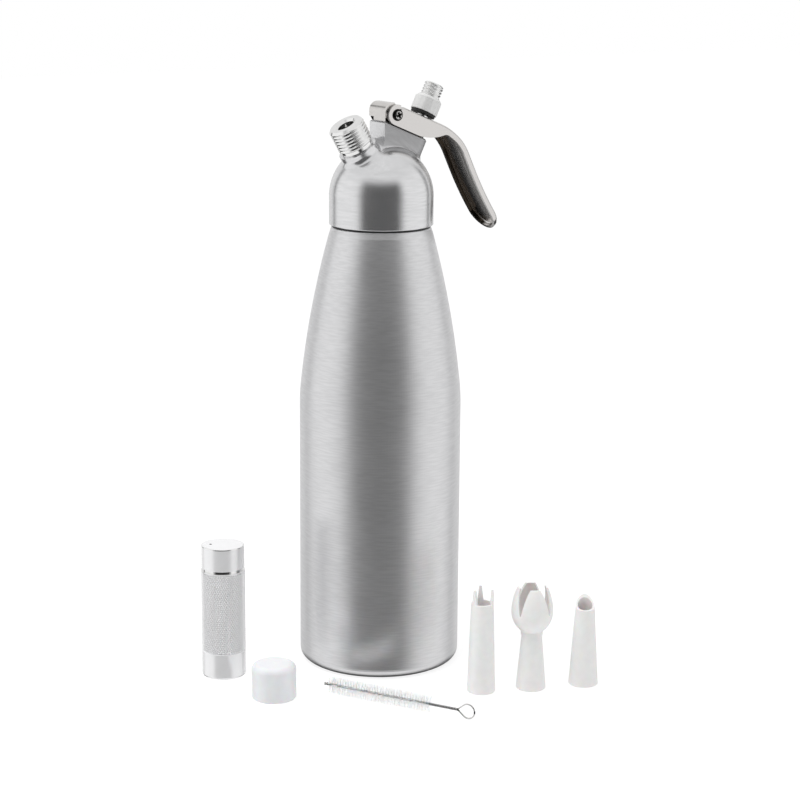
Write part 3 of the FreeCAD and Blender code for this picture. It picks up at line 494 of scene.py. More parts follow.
# Painted shade: the channel's inner walls take the dark brown in place of the steel.
tones = add(tree, "ShaderNodeMix", {0: ease(turned_in, *WALL_SPAN), 6: (*LEVER, 1),
                                    7: (*WALL_PAINTED_SHADE, 1)}, data_type="RGBA").outputs[2]
tree.links.new(tones, shader.inputs["Base Color"])
near = calc("MINIMUM", across, 0.0)
hollow = times(near, near, 0.5 * SLOPE_PER_MM / MM)
skin = use(tree, grain, vector=spot, grains_per_metre=1500.0)
emboss(tree, shader, calc("ADD", times(hollow, under), times(skin["Height"], SKIN_DEPTH)), 1.0)
smeared(tree, shader, spot, 38.0, 0.14, 0.2)
dull = times(under, ease(across, *DULL_SPAN), SHEEN_LOST)
tree.links.new(calc("SUBTRACT", 1.0, dull), shader.inputs["Metallic"])
print("lever steel has", len(tree.nodes), "nodes")

# %% [markdown]
# The other steels, the plated pieces and the nut under the tips have one even skin each, and
# so have the plastics, so one recipe makes them all. The nut is blasted with fine beads:
# it is pale and even, and less of it acts as a mirror.

# %% Buffed steel, blasted nut, plain fasteners
def skinned(name, colour, rough, least, most, size, grains, depth, darkest, metallic,
            **constants):
    """A material with a fine skin, and gloss that wanders between two values."""
    material, tree, shader = finish(name, colour, rough, metallic, **constants)
    spot = own_space(tree)
    smeared(tree, shader, spot, size, least, most)
    skin = use(tree, grain, vector=spot, grains_per_metre=grains)
    emboss(tree, shader, skin["Height"], depth)
    tinted(tree, shader, colour, ease(skin["Tone"], *NOISE_SPAN, darkest, 1.0))
    return material


def buffed(name, colour, rough, spread, grains=1500.0, depth=SKIN_DEPTH, metal=1.0):
    """Steel polished with a cloth wheel: gloss that wanders a little, and a faint skin."""
    return skinned(name, colour, rough, rough - spread, rough + spread, 38.0, grains, depth,
                   0.95, metal)


# A near-black used only as painted shade: in the vent hole, the screw's recess and the ring under
# its head.
painted_shade = buffed("dark oxide", (0.015, 0.014, 0.013), 0.45, 0.05)
block_steel = buffed("buffed hinge block", (0.74, 0.72, 0.70), 0.2, 0.03)
screw_steel = buffed("plain steel", (0.55, 0.54, 0.53), 0.24, 0.05)
nut_metal = buffed("blasted nut", (0.80, 0.80, 0.795), 0.6, 0.04, grains=5200.0, depth=8e-6,
                   metal=0.45)
inlet_metal = buffed("bright plate", (0.93, 0.93, 0.925), 0.07, 0.015, depth=1e-9)
stub_metal = buffed("turned stub", (0.90, 0.90, 0.895), 0.22, 0.03, depth=1e-9, metal=0.9)
print("steels ready")

# %% [markdown]
# ## Plastics and rubber
# The cap is glossy and slightly blue, the tips are a warmer white with a satin mould skin,
# and the rings are black rubber. Moulded white plastic is mostly an even diffuse colour
# with a thin gloss over it, so on the cap the Coat adds gloss and the base stays rougher.
# Light also sinks a little way into white plastic and nylon, which Subsurface gives.

# %% Plastics
def moulded(name, colour, rough, grains, depth, **constants):
    """Moulded plastic or rubber with the fine skin of its mould."""
    return skinned(name, colour, rough, rough * 0.9, rough * 1.15, 80.0, grains, depth, 0.97,
                   0.0, **constants)


cap_plastic = moulded("glossy white", (0.84, 0.85, 0.875), 0.32, 900.0, 1e-6, coat_weight=0.3,
                      subsurface_weight=0.3, subsurface_scale=0.004)
tip_plastic = moulded("satin white", (0.90, 0.894, 0.886), 0.42, 1300.0, 1e-6,
                      subsurface_weight=0.2, subsurface_scale=0.003)
rubber = moulded("black rubber", (0.02, 0.02, 0.02), 0.6, 2500.0, 4e-6)
nylon = moulded("clear nylon", (0.95, 0.95, 0.95), 0.4, 1500.0, 1e-7, subsurface_weight=0.6,
                subsurface_scale=0.004)
print("plastics ready")

# %% [markdown]
# ## Turned pieces with real threads
# Bottle, inlet, nut, holder, cap and screw are all turned on a lathe: one outline run round
# an axis. One Geometry Nodes tree makes them all. It lays a flat grid, bends it round the
# axis and gives each point the radius and height of the outline's point in its row. The
# outline's points carry two values: how deep a thread is cut there, and how far its flats
# lie from the axis. A thread is the same cut for every point, but its place climbs one
# pitch for each turn. It is cut as a smooth wave, a little rounder than a real thread, and
# flats are the radius held down to a straight side.

# %% Tree: turned piece, its grid
lathe, ends, out = new_group(
    "GeometryNodeTree", "Turned piece",
    {"Outline": "Geometry", "Steps": 96, "Pitch": 0.002, "Sides": 6, "Material": "Material"},
    {"Piece": "Geometry"})
rows = add(lathe, "GeometryNodeAttributeDomainSize", {0: ends["Outline"]}).outputs["Point Count"]
last_row = calc("SUBTRACT", rows, 1.0)
grid = add(lathe, "GeometryNodeMeshGrid", {
    "Size X": 1.0, "Size Y": last_row, "Vertices Y": rows,
    "Vertices X": calc("ADD", ends["Steps"], 1.0)}).outputs["Mesh"]
position = get(lathe, "GeometryNodeInputPosition")
flat_place = split(position)
row = calc("ROUND", calc("ADD", flat_place["Y"], times(last_row, 0.5)))
angle = times(calc("ADD", flat_place["X"], 0.5), math.tau)


def from_outline(value, kind):
    """A value of the outline's point in this row."""
    return get(lathe, "GeometryNodeSampleIndex", {0: ends["Outline"], 1: value, "Index": row},
               data_type=kind)


def outline_value(label):
    """A number kept on the outline's points."""
    return from_outline(get(lathe, "GeometryNodeInputNamedAttribute", {0: label},
                            data_type="FLOAT"), "FLOAT")


spot = split(from_outline(position, "FLOAT_VECTOR"))
print("the grid takes its rows from the outline")

# %% Tree: turned piece, its thread and flats
def polar(radius, angle, height):
    """A place given by its distance from the axis, its angle and its height."""
    return joined(times(radius, calc("COSINE", angle)), times(radius, calc("SINE", angle)), height)


climb = calc("SUBTRACT", calc("DIVIDE", spot["Z"], ends["Pitch"]), calc("DIVIDE", angle, math.tau))
groove = ease(calc("PINGPONG", climb, 0.5), 0.0, 0.5)
cut_radius = calc("ADD", spot["X"], times(groove, outline_value("thread")))
side = calc("DIVIDE", math.tau, ends["Sides"])
half_side = times(side, 0.5)
off_side = calc("SUBTRACT", calc("FLOORED_MODULO", calc("ADD", angle, half_side), side), half_side)
flat_radius = calc("DIVIDE", outline_value("flats"), calc("COSINE", off_side))
radius = calc("MINIMUM", cut_radius, flat_radius)
print("the thread climbs one pitch a turn")

# %% Tree: turned piece, closed and dressed
WELD, CREASE, WORKED = 2e-6, math.radians(38), 1e-5


def dress(tree, geometry, material, out):
    """The end of each tree: real geometry with its material."""
    whole = get(tree, "GeometryNodeRealizeInstances", {0: geometry})
    tree.links.new(get(tree, "GeometryNodeSetMaterial", {0: whole, "Material": material}),
                   out.inputs[0])


marked = get(lathe, "GeometryNodeStoreNamedAttribute", {
    0: grid, "Name": "worked", "Value": calc("ABSOLUTE", outline_value("thread"))},
    data_type="FLOAT", domain="POINT")
bent = get(lathe, "GeometryNodeSetPosition", {
    0: marked, "Position": polar(radius, angle, spot["Z"])})
closed = get(lathe, "GeometryNodeMergeByDistance", {0: bent, "Distance": WELD})
corner = add(lathe, "GeometryNodeInputMeshEdgeAngle").outputs["Unsigned Angle"]
worked = get(lathe, "GeometryNodeInputNamedAttribute", {0: "worked"}, data_type="FLOAT")
crisp = get(lathe, "GeometryNodeSetShadeSmooth", {
    0: closed, "Shade Smooth": False, "Selection": times(
        calc("GREATER_THAN", corner, CREASE), calc("LESS_THAN", worked, WORKED))}, domain="EDGE")
dress(lathe, crisp, ends["Material"], out)
print("the lathe has", len(lathe.nodes), "nodes")

# %% [markdown]
# An outline is a mesh of points joined in a row, written in millimetres. Two small helpers
# give the points that repeat: an arc for a rounded corner, and close rows up a straight
# side for a thread to be cut in.

# %% Outlines
NO_FLAT = 1.0


def drawn(name, points, threads=(), flats=()):
    """A mesh of outline points in millimetres, with what is cut and flattened where.

    A thread is (low, high, near, far, depth, runout): it is cut between two heights and two
    radii, and fades over the runout at each end. The depth is minus when it is cut in from
    outside. Flats are (low, high, distance from the axis).
    """
    mesh = bpy.data.meshes.new(name)
    mesh.from_pydata([(r * MM, 0, z * MM) for r, z in points],
                     [(i, i + 1) for i in range(len(points) - 1)], [])
    thread = mesh.attributes.new("thread", "FLOAT", "POINT")
    flat = mesh.attributes.new("flats", "FLOAT", "POINT")
    for index, (r, z) in enumerate(points):
        flat.data[index].value = NO_FLAT
        for low, high, near, far, depth, runout in threads:
            if low <= z <= high and near <= r <= far:
                fade = min((z - low) / runout, (high - z) / runout, 1.0)
                thread.data[index].value = depth * MM * fade * fade * (3 - 2 * fade)
        for low, high, distance in flats:
            if low - 1e-6 <= z <= high + 1e-6:
                flat.data[index].value = distance * MM
    return mesh


def round_corner(across, up, radius, first, last, count=6):
    """Points on an arc, from one angle to another, in degrees from outwards to upwards."""
    turns = [math.radians(first + (last - first) * i / count) for i in range(count + 1)]
    return [(across + radius * math.cos(t), up + radius * math.sin(t)) for t in turns]


def rows_between(radius, low, high, gap):
    """Close rows up a straight side."""
    count = max(1, round(abs(high - low) / gap))
    return [(radius, low + (high - low) * i / count) for i in range(count + 1)]


print("a corner has", len(round_corner(0, 0, 1, 0, 90)), "points")

# %% [markdown]
# A tree runs as a modifier on an object that holds only its starting mesh. The result is
# turned into a plain mesh, put in its place, and checked: if its volume comes out negative,
# its faces point inwards and are turned round.

# %% Run a tree
def baked(thing):
    """The plain mesh of an object with its modifiers; the object is then removed."""
    mesh = bpy.data.meshes.new_from_object(
        thing.evaluated_get(bpy.context.evaluated_depsgraph_get()))
    bpy.data.objects.remove(thing)
    return mesh


def grown(name, start, tree, values):
    """The plain mesh that a tree makes from a starting mesh."""
    source = show(name, start)
    modifier = source.modifiers.new("shape", "NODES")
    modifier.node_group = tree
    sockets = {item.name: item.identifier for item in tree.interface.items_tree
               if item.in_out == "INPUT"}
    for label, value in values.items():
        modifier[sockets[label]] = value
    return baked(source)


def turned(name, points, material, steps, pitch=1.0, sides=6, threads=(), flats=()):
    """The mesh of a piece off the lathe, from its outline in millimetres."""
    return grown(name, drawn(name + " outline", points, threads, flats), lathe, {
        "Steps": steps, "Pitch": pitch * MM, "Sides": sides, "Material": material})


print("lathe ready")

# %% Finish a piece
def repaint(mesh, material, chosen):
    """Another material for the faces whose middle, in millimetres, is chosen."""
    mesh.materials.append(material)
    for face in mesh.polygons:
        if chosen(*(face.center / MM)):
            face.material_index = len(mesh.materials) - 1


def piece(name, mesh, place, body, stands_for=()):
    """A finished piece: placed in its mesh, facing out, riding on its body."""
    mesh.transform(place)
    shape = bmesh.new()
    shape.from_mesh(mesh)
    if shape.calc_volume(signed=True) < 0:
        bmesh.ops.reverse_faces(shape, faces=shape.faces)
    triangles = sum(len(face.verts) - 2 for face in shape.faces)
    shape.to_mesh(mesh)
    shape.free()
    made = show(name, mesh)
    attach(made, body)
    if stands_for:
        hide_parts(*stands_for)
    print(name, "has", triangles, "triangles")
    return made


print("finishing ready")

# %% [markdown]
# ## Bottle
# The bottle is drawn from one blank: a dished foot, a straight body, a long shoulder, and a
# neck with a round thread that stays hidden until the head comes off. The inside is the
# same outline moved in by the wall, so both come from one function.

# %% Bottle's side
BODY_R, WALL, FOOT_CORNER, DISH_R, DISH_RISE = 45.0, 1.8, 5.6, 34.0, 3.5
SHOULDER_START, KNEE_R, KNEE_TURN, RIM_R, RIM, RIM_ROUND = 147.7, 120.0, 6.0, 27.6, 247.3, 0.7
NECK_R, NECK_TOP, NECK_PITCH, NECK_CUT = 25.6, 262.0, 3.2, 0.85
STRAIGHT_FROM, STRAIGHT_GAP = 20, 30


def bottle_side(inset):
    """The bottle's side from the foot's corner up to its rim, moved in by an inset."""
    knee = (BODY_R - KNEE_R, SHOULDER_START)
    t = math.radians(KNEE_TURN)
    start = (knee[0] + KNEE_R * math.cos(t), knee[1] + KNEE_R * math.sin(t))
    chord = (RIM_R - start[0], RIM - start[1])
    sweep = (chord[0] ** 2 + chord[1] ** 2) / (
        -2 * (chord[0] * math.cos(t) + chord[1] * math.sin(t)))
    centre = (start[0] - sweep * math.cos(t), start[1] - sweep * math.sin(t))
    rim_turn = math.degrees(math.atan2(RIM - centre[1], RIM_R - centre[0]))
    corner = BODY_R - FOOT_CORNER
    return (round_corner(corner, FOOT_CORNER, FOOT_CORNER - inset, -90, 0, 8)
            + rows_between(BODY_R - inset, STRAIGHT_FROM, SHOULDER_START, STRAIGHT_GAP)
            + round_corner(*knee, KNEE_R - inset, 0, KNEE_TURN, 4)[1:]
            + round_corner(*centre, sweep - inset, KNEE_TURN, rim_turn, 24)[1:])


print("the side has", len(bottle_side(0)), "points")

# %% Bottle
dish_sweep = (DISH_R ** 2 + DISH_RISE ** 2) / (2 * DISH_RISE)
dish_turn = 90 - math.degrees(math.asin(DISH_R / dish_sweep))
outer = bottle_side(0)
outer[-1] = (RIM_R - 0.02, RIM - RIM_ROUND)
outline = (round_corner(0, DISH_RISE - dish_sweep, dish_sweep, 90, dish_turn, 8)
           + outer + round_corner(RIM_R - RIM_ROUND, RIM - RIM_ROUND, RIM_ROUND, 0, 90)[1:]
           + rows_between(NECK_R, RIM, NECK_TOP - 0.5, 0.26)
           + [(NECK_R - 0.5, NECK_TOP), (NECK_R - WALL, NECK_TOP), (NECK_R - WALL, RIM - WALL)]
           + bottle_side(WALL)[:-1][::-1]
           + round_corner(0, DISH_RISE - dish_sweep, dish_sweep + WALL, dish_turn, 90, 8))
bottle_mesh = turned("bottle", outline, bottle_metal, 180, NECK_PITCH, threads=(
    (RIM + 1.2, NECK_TOP - 0.8, NECK_R - 0.1, NECK_R + 0.1, -NECK_CUT, 1.6),))
piece("drawn_bottle", bottle_mesh, Matrix(), "bottle", ("bottle",))

# %% [markdown]
# ## Charger inlet
# The nipple that the charger holder screws onto is turned and plated bright. Its thread has
# a 1.85 mm pitch, a plain ring below it and a chamfer at the mouth, and the socket inside
# takes the neck of the charger.

# %% Charger inlet
SEAT, RING_R, RING_TOP, THREAD_R, INLET_TOP, CHAMFER = 31.0, 9.1, 33.4, 10.0, 46.6, 1.2
TAIL_R, TAIL_END, SOCKET_R, SHELF, PLUG_R = 5.0, 18.4, 4.7, 35.6, 3.2
INLET_PITCH, INLET_CUT = 1.85, 0.42
outline = ([(TAIL_R, TAIL_END), (TAIL_R, SEAT), (RING_R - 0.2, SEAT), (RING_R, SEAT + 0.2),
            (RING_R, RING_TOP)]
           + rows_between(THREAD_R, RING_TOP + 0.9, INLET_TOP - CHAMFER, 0.12)
           + [(THREAD_R - CHAMFER, INLET_TOP), (SOCKET_R + CHAMFER, INLET_TOP),
              (SOCKET_R, INLET_TOP - CHAMFER), (SOCKET_R, SHELF), (PLUG_R, SHELF),
              (PLUG_R, TAIL_END), (TAIL_R, TAIL_END)])
inlet_mesh = turned("inlet", outline, inlet_metal, 144, INLET_PITCH, threads=(
    (RING_TOP + 0.6, INLET_TOP - 0.2, 9.9, 10.1, -INLET_CUT, 1.0),))
piece("threaded_inlet", inlet_mesh, inlet_axis, "head", ("charger_inlet",))

# %% [markdown]
# ## Lower edge of the head
# After casting, the skirt's lower edge is turned square. The CAD head keeps a larger round
# there, so a thin turned ring with only a hair of a round finishes the edge.

# %% Skirt edge
SKIRT_R, EDGE_LOW, EDGE_HIGH, EDGE_IN = 28.71, 248.5, 250.9, 26.6
outline = [(EDGE_IN, EDGE_LOW), (SKIRT_R - 0.3, EDGE_LOW), (SKIRT_R - 0.1, EDGE_LOW + 0.1),
           (SKIRT_R, EDGE_LOW + 0.3), (SKIRT_R, EDGE_HIGH), (EDGE_IN, EDGE_HIGH),
           (EDGE_IN, EDGE_LOW)]
edge_mesh = turned("edge", outline, head_metal, 180)
piece("skirt_edge", edge_mesh, Matrix(), "head")

# %% [markdown]
# ## Tip adaptor
# A blasted nut with twelve low flats carries a bright stub whose thread takes the tips. It
# is one solid piece on the real object, so it is one mesh here, and only its faces get two
# materials: those of the stub, above the nut, get the bright one.

# %% Tip adaptor
NUT_BOTTOM, NUT_TOP, STUB_TOP, NUT_R, NUT_FLAT = 61.888, 70.888, 78.488, 7.65, 7.5
STUB_R, STUB_EDGE, MOUTH_R, BORE_R, STEM_R = 5.6, 0.6, 3.2, 2.4, 3.5
RECESS_R, RECESS, ADAPTOR_SHELF, NUT_CHAMFER = 6.9, 2.0, 68.888, 1.4
STUB_PITCH, STUB_CUT = 1.75, 0.5
outline = ([(RECESS_R, NUT_BOTTOM), (NUT_R - 0.25, NUT_BOTTOM), (NUT_R, NUT_BOTTOM + 0.25),
            (NUT_R, NUT_TOP - NUT_CHAMFER), (NUT_R - NUT_CHAMFER, NUT_TOP), (STUB_R, NUT_TOP)]
           + rows_between(STUB_R, NUT_TOP + 0.05, STUB_TOP - STUB_EDGE, 0.12)
           + [(STUB_R - STUB_EDGE, STUB_TOP), (MOUTH_R, STUB_TOP), (MOUTH_R, NUT_TOP),
              (BORE_R, NUT_TOP), (BORE_R, ADAPTOR_SHELF), (STEM_R, ADAPTOR_SHELF),
              (STEM_R, NUT_BOTTOM + RECESS), (RECESS_R, NUT_BOTTOM + RECESS),
              (RECESS_R, NUT_BOTTOM)])
adaptor_mesh = turned("adaptor", outline, nut_metal, 120, STUB_PITCH, 12, threads=(
    (NUT_TOP + 0.3, STUB_TOP, 5.5, 5.7, -STUB_CUT, 1.0),), flats=(
        (NUT_BOTTOM, NUT_TOP - 0.2, NUT_FLAT),))
repaint(adaptor_mesh, stub_metal,
        lambda x, y, z: z > NUT_TOP + 0.02 and math.hypot(x, y) > MOUTH_R + 0.2)
piece("nut_with_stub", adaptor_mesh, valve_axis, "valve", ("tip_adaptor",))

# %% [markdown]
# ## Charger holder
# The sleeve is turned from bar, threaded inside its open end and closed at the top. The
# groove under the top band and the band's own edge shine brightest.

# %% Charger holder
HOLDER_R, HOLDER_TOP, BAND_R, GROOVE_R, GROOVE = 12.1, 75.0, 11.8, 11.3, (61.0, 62.4)
ROOT_R, KNURL, HOLDER_BORE, BORE_TOP, FIT_R = 11.62, (14.5, 60.4), 9.2, 70.0, 10.2
HOLDER_AT, INNER_CUT = shift(-91.202, 18.719, 0), (10.1, 10.3, 0.7, 1.0)
outline = ([(0, HOLDER_TOP), (BAND_R - 0.5, HOLDER_TOP), (BAND_R - 0.12, HOLDER_TOP - 0.12),
            (BAND_R, HOLDER_TOP - 0.5), (BAND_R, GROOVE[1]), (GROOVE_R, GROOVE[1]),
            (GROOVE_R, GROOVE[0]), (HOLDER_R - 0.2, GROOVE[0]), (HOLDER_R, GROOVE[0] - 0.2),
            (HOLDER_R, KNURL[1]), (ROOT_R, KNURL[1] - 0.3), (ROOT_R, KNURL[0] + 0.3),
            (HOLDER_R, KNURL[0]), (HOLDER_R, 1.2), (HOLDER_R - 0.35, 0.35),
            (HOLDER_R - 1.2, 0), (FIT_R + 0.4, 0), (FIT_R, 0.4)]
           + rows_between(FIT_R, 0.8, 12.6, 0.25)
           + [(FIT_R, 13.0), (HOLDER_BORE, 13.0), (HOLDER_BORE, BORE_TOP), (0, BORE_TOP)])
sleeve_mesh = turned("sleeve", outline, holder_metal, 120, INLET_PITCH,
                     threads=((0.5, 12.8, *INNER_CUT),))
print("the sleeve has", len(sleeve_mesh.polygons), "faces")

# %% [markdown]
# A small vent beside the middle of the closed end lets trapped gas out. It is drilled by a
# Boolean: a bar shaped like the hole is cut out of the sleeve. A bar runs from one ring of
# points to another, so the same helper makes the screw's punch later on.

# %% Vent hole
def bars(name, *pairs):
    """A mesh of closed bars, each between two rings of points in millimetres."""
    points, faces = [], []
    for low, high in pairs:
        first, count = len(points), len(low)
        points += [tuple(c * MM for c in point) for point in low + high]
        faces += [tuple(range(first, first + count))[::-1],
                  tuple(range(first + count, first + 2 * count))]
        for i in range(first, first + count):
            after = first + (i + 1 - first) % count
            faces.append((i, after, after + count, i + count))
    mesh = bpy.data.meshes.new(name)
    mesh.from_pydata(points, [], faces)
    return mesh


def punch(name, blank_mesh, cutter_mesh):
    """A copy of a mesh with another mesh cut out of it."""
    cutter, blank = show("cutter", cutter_mesh), show("blank", blank_mesh)
    cut = blank.modifiers.new("cut", "BOOLEAN")
    cut.object, cut.operation, cut.solver, cut.use_self = cutter, "DIFFERENCE", "EXACT", True
    mesh = baked(blank)
    mesh.name = name
    bpy.data.objects.remove(cutter)
    return mesh


def on_bright_edge(x, y, z):
    """Whether a face is in the groove, or on the round of the top edge."""
    out_by = math.hypot(x, y)
    return (out_by > BAND_R - 0.6 and HOLDER_TOP - 0.6 < z < HOLDER_TOP - 0.02) or (
        out_by > GROOVE_R - 0.2 and GROOVE[0] - 0.25 < z < GROOVE[1] + 0.02)


VENT_R, VENT_OFFSET, VENT_TURN, VENT_SIDES = 0.8, 6.7, math.radians(146), 16
vent_x, vent_y = VENT_OFFSET * math.cos(VENT_TURN), VENT_OFFSET * math.sin(VENT_TURN)
circle = round_corner(vent_x, vent_y, VENT_R, 0, 360, VENT_SIDES)[:-1]
drill_mesh = bars("vent drill", [[(x, y, z) for x, y in circle]
                                 for z in (BORE_TOP - 1, HOLDER_TOP + 1)])
sleeve_mesh = punch("vented sleeve", sleeve_mesh, drill_mesh)
repaint(sleeve_mesh, inlet_metal, on_bright_edge)
# The vent's walls carry painted shade, so the hole reads black.
repaint(sleeve_mesh, painted_shade, lambda x, y, z: math.hypot(x - vent_x, y - vent_y) < VENT_R
        and BORE_TOP < z < HOLDER_TOP - 0.01)
piece("holder_sleeve", sleeve_mesh, HOLDER_AT, "charger_holder",
      ("charger_holder",))

# %% [markdown]
# Round the grip runs a diamond knurl. A knurl could be cut by bending the surface itself,
# but crisp diamonds would need a very fine mesh. Instancing one small pyramid on a
# staggered grid costs a few faces a diamond. Its metal has a little less haze than the
# sleeve's, so that the diamonds shine one by one.

# %% Tree: diamond knurl
TOP_SHARE = 0.16
knurl, ends, out = new_group(
    "GeometryNodeTree", "Diamond knurl",
    {"Start": "Geometry", "Radius": 0.0117, "Bottom": 0.015, "Height": 0.045, "Around": 60,
     "Rows": 60, "Rise": 0.0004, "Material": "Material"}, {"Piece": "Geometry"})
places = get(knurl, "GeometryNodeMeshLine", {"Count": times(ends["Around"], ends["Rows"])})
index = get(knurl, "GeometryNodeInputIndex")
row = calc("FLOOR", calc("DIVIDE", index, ends["Around"]))
stagger = times(calc("FLOORED_MODULO", row, 2.0), 0.5)
angle = times(calc("ADD", index, stagger), calc("DIVIDE", math.tau, ends["Around"]))
row_gap = calc("DIVIDE", ends["Height"], calc("ADD", ends["Rows"], 1.0))
lift = calc("ADD", ends["Bottom"], times(row_gap, calc("ADD", row, 1.0)))
spread = get(knurl, "GeometryNodeSetPosition", {
    0: places, "Position": polar(ends["Radius"], angle, lift)})
diamond = get(knurl, "GeometryNodeMeshCone", {
    "Vertices": 4, "Radius Top": TOP_SHARE, "Radius Bottom": 1.0, "Depth": ends["Rise"]})
half_width = calc("DIVIDE", times(ends["Radius"], math.pi), ends["Around"])
studded = get(knurl, "GeometryNodeInstanceOnPoints", {
    "Points": spread, "Instance": diamond, "Rotation": joined(0.0, math.pi / 2, angle),
    "Scale": joined(row_gap, half_width, 1.0)})
dress(knurl, studded, ends["Material"], out)
print("the knurl has", len(knurl.nodes), "nodes")

# %% Knurled grip
AROUND, ROWS, SINK = 56, 39, 0.04
knurl_mesh = grown("knurl", bpy.data.meshes.new("knurl start"), knurl, {
    "Radius": (ROOT_R - SINK) * MM, "Bottom": KNURL[0] * MM,
    "Height": (KNURL[1] - KNURL[0]) * MM, "Around": AROUND, "Rows": ROWS,
    "Rise": (HOLDER_R - ROOT_R + SINK) * MM, "Material": knurl_metal})
for face in knurl_mesh.polygons:
    face.use_smooth = False
piece("holder_knurl", knurl_mesh, HOLDER_AT, "charger_holder")

# %% [markdown]
# ## Protective cap
# A small moulded cap, threaded inside, keeps dust off the inlet. It goes through the same
# lathe tree.

# %% Protective cap
CAP_R, CAP_TOP, CAP_ROUND, CAP_BORE, CAP_DEPTH = 12.0, 19.2, 3.2, 10.2, 16.6
CAP_AT = shift(-86.312, -27.876, 0)
outline = ([(0, CAP_TOP)] + round_corner(CAP_R - CAP_ROUND, CAP_TOP - CAP_ROUND, CAP_ROUND, 90, 0)
           + [(CAP_R, 0.4), (CAP_R - 0.4, 0), (CAP_BORE + 0.5, 0), (CAP_BORE, 0.5)]
           + rows_between(CAP_BORE, 0.8, 13.0, 0.25) + [(CAP_BORE, CAP_DEPTH), (0, CAP_DEPTH)])
cap_mesh = turned("cap", outline, cap_plastic, 96, INLET_PITCH, threads=((0.6, 13.2, *INNER_CUT),))
piece("inlet_cap", cap_mesh, CAP_AT, "protective_cap", ("protective_cap",))

# %% [markdown]
# ## Pivot screw and nut
# The lever turns on a screw with a cross recess. The head is turned, and the recess is two
# crossed bars cut out of it, narrower at the bottom. The recess and the thin ring round the
# head carry painted shade, a near-black that stands in for the shade in them.

# %% Pivot screw
SIDE, HEAD_R, HEAD_TOP, SHANK_R, SHANK_END = 9.45, 3.25, 11.15, 2.0, -13.25
CROSS_WIDTH, CROSS_LENGTH, CROSS_DEPTH, CROSS_TAPER, SCREW_PITCH = 1.3, 4.0, 1.4, 0.6, 0.7
outline = ([(0, HEAD_TOP), (1.2, HEAD_TOP - 0.03), (1.8, HEAD_TOP - 0.15),
            (2.2, HEAD_TOP - 0.4), (2.4, HEAD_TOP - 0.8), (2.4, SIDE + 0.25),
            (HEAD_R, SIDE + 0.2), (HEAD_R, SIDE), (SHANK_R, SIDE)]
           + rows_between(SHANK_R, SIDE - 1, SHANK_END + 0.4, 0.12)
           + [(SHANK_R - 0.4, SHANK_END), (0, SHANK_END)])
screw_mesh = turned("screw", outline, screw_steel, 64, SCREW_PITCH, threads=(
    (SHANK_END, -SIDE + 0.4, 1.9, 2.1, -0.3, 0.4),))
bar = [[(x * CROSS_LENGTH / 2 * shrink, y * CROSS_WIDTH / 2, z)
        for x, y in ((-1, -1), (1, -1), (1, 1), (-1, 1))]
       for z, shrink in ((HEAD_TOP - CROSS_DEPTH, CROSS_TAPER), (HEAD_TOP + 0.5, 1.0))]
crossing = [[(-y, x, z) for x, y, z in ring] for ring in bar]
punched = punch("punched screw", screw_mesh, bars("cross punch", bar, crossing))
# Painted shade on the cross recess and on the thin ring under the screw's head.
repaint(punched, painted_shade, lambda x, y, z: SIDE + 0.1 < z < (
    SIDE + 0.3 if math.hypot(x, y) > 2.3 else HEAD_TOP - 0.3))
screw_place = shift(*PIVOT) @ rotate(90, "X") @ rotate(20, "Z")
piece("pivot_screw_recessed", punched, screw_place, "head", ("pivot_screw",))

# %% Pivot nut
NUT_HEIGHT, HEX_FLAT, HEX_R, HEX_EDGE = 3.2, 3.5, 4.0415, 0.35
outline = [(SHANK_R, 0), (HEX_R - HEX_EDGE, 0), (HEX_R, HEX_EDGE), (HEX_R, NUT_HEIGHT - HEX_EDGE),
           (HEX_R - HEX_EDGE, NUT_HEIGHT), (SHANK_R, NUT_HEIGHT), (SHANK_R, 0)]
hex_mesh = turned("hexagon", outline, screw_steel, 96, flats=((0, NUT_HEIGHT, HEX_FLAT),))
nut_place = shift(*PIVOT) @ shift(0, SIDE, 0) @ rotate(-90, "X")
piece("pivot_nut_hexagon", hex_mesh, nut_place, "head", ("pivot_nut",))

# %% [markdown]
# ## Cleaning brush
# A small brush is made by twisting one wire round a row of bristles, so the bristles fan
# out along a screw, and the far end of the wire is left open as a loop. The crevice between
# the two strands lies in shade, so the steel carries painted shade towards the axis of the
# twist.

# %% Wire steel
BRUSH_AT = shift(-59.8, -36.4, 5.0) @ rotate(-61.7, "Z")
WIRE, CREVICE_PAINTED_SHADE, CREVICE_SPAN = (0.80, 0.79, 0.78), 0.02, (0.62 * MM, 0.84 * MM)
wire_steel, tree, shader = finish("drawn wire", WIRE, 0.25)
spot = own_space(tree, BRUSH_AT)
off_axis = vector("LENGTH", vector("MULTIPLY", spot, (0.0, 1.0, 1.0)))
# Painted shade: the steel darkens towards the crevice between the strands.
tinted(tree, shader, WIRE, ease(off_axis, *CREVICE_SPAN, CREVICE_PAINTED_SHADE, 1.0))
smeared(tree, shader, spot, 38.0, 0.21, 0.29)
print("wire steel has", len(tree.nodes), "nodes")

# %% [markdown]
# The wire is one path: out along the first strand, round the loop, and back along the
# second. A curve with a round bevel follows it, and is then made a mesh.

# %% Brush wire
STRAND_R, STRAND_OFF, TWIST, TIP, JOIN, LOOP_R, LOOP_REACH = 0.42, 0.45, 3.3, 0.5, 81.8, 3.9, 5.6


def strand(side, count=260):
    """Points of one strand from the tip to the join; side is 1 or -1."""
    points = []
    for i in range(count + 1):
        x = TIP + (JOIN - TIP) * i / count
        turn = math.tau * (x - JOIN) / TWIST + side * math.pi / 2
        points.append((x, STRAND_OFF * math.cos(turn), STRAND_OFF * math.sin(turn)))
    return points


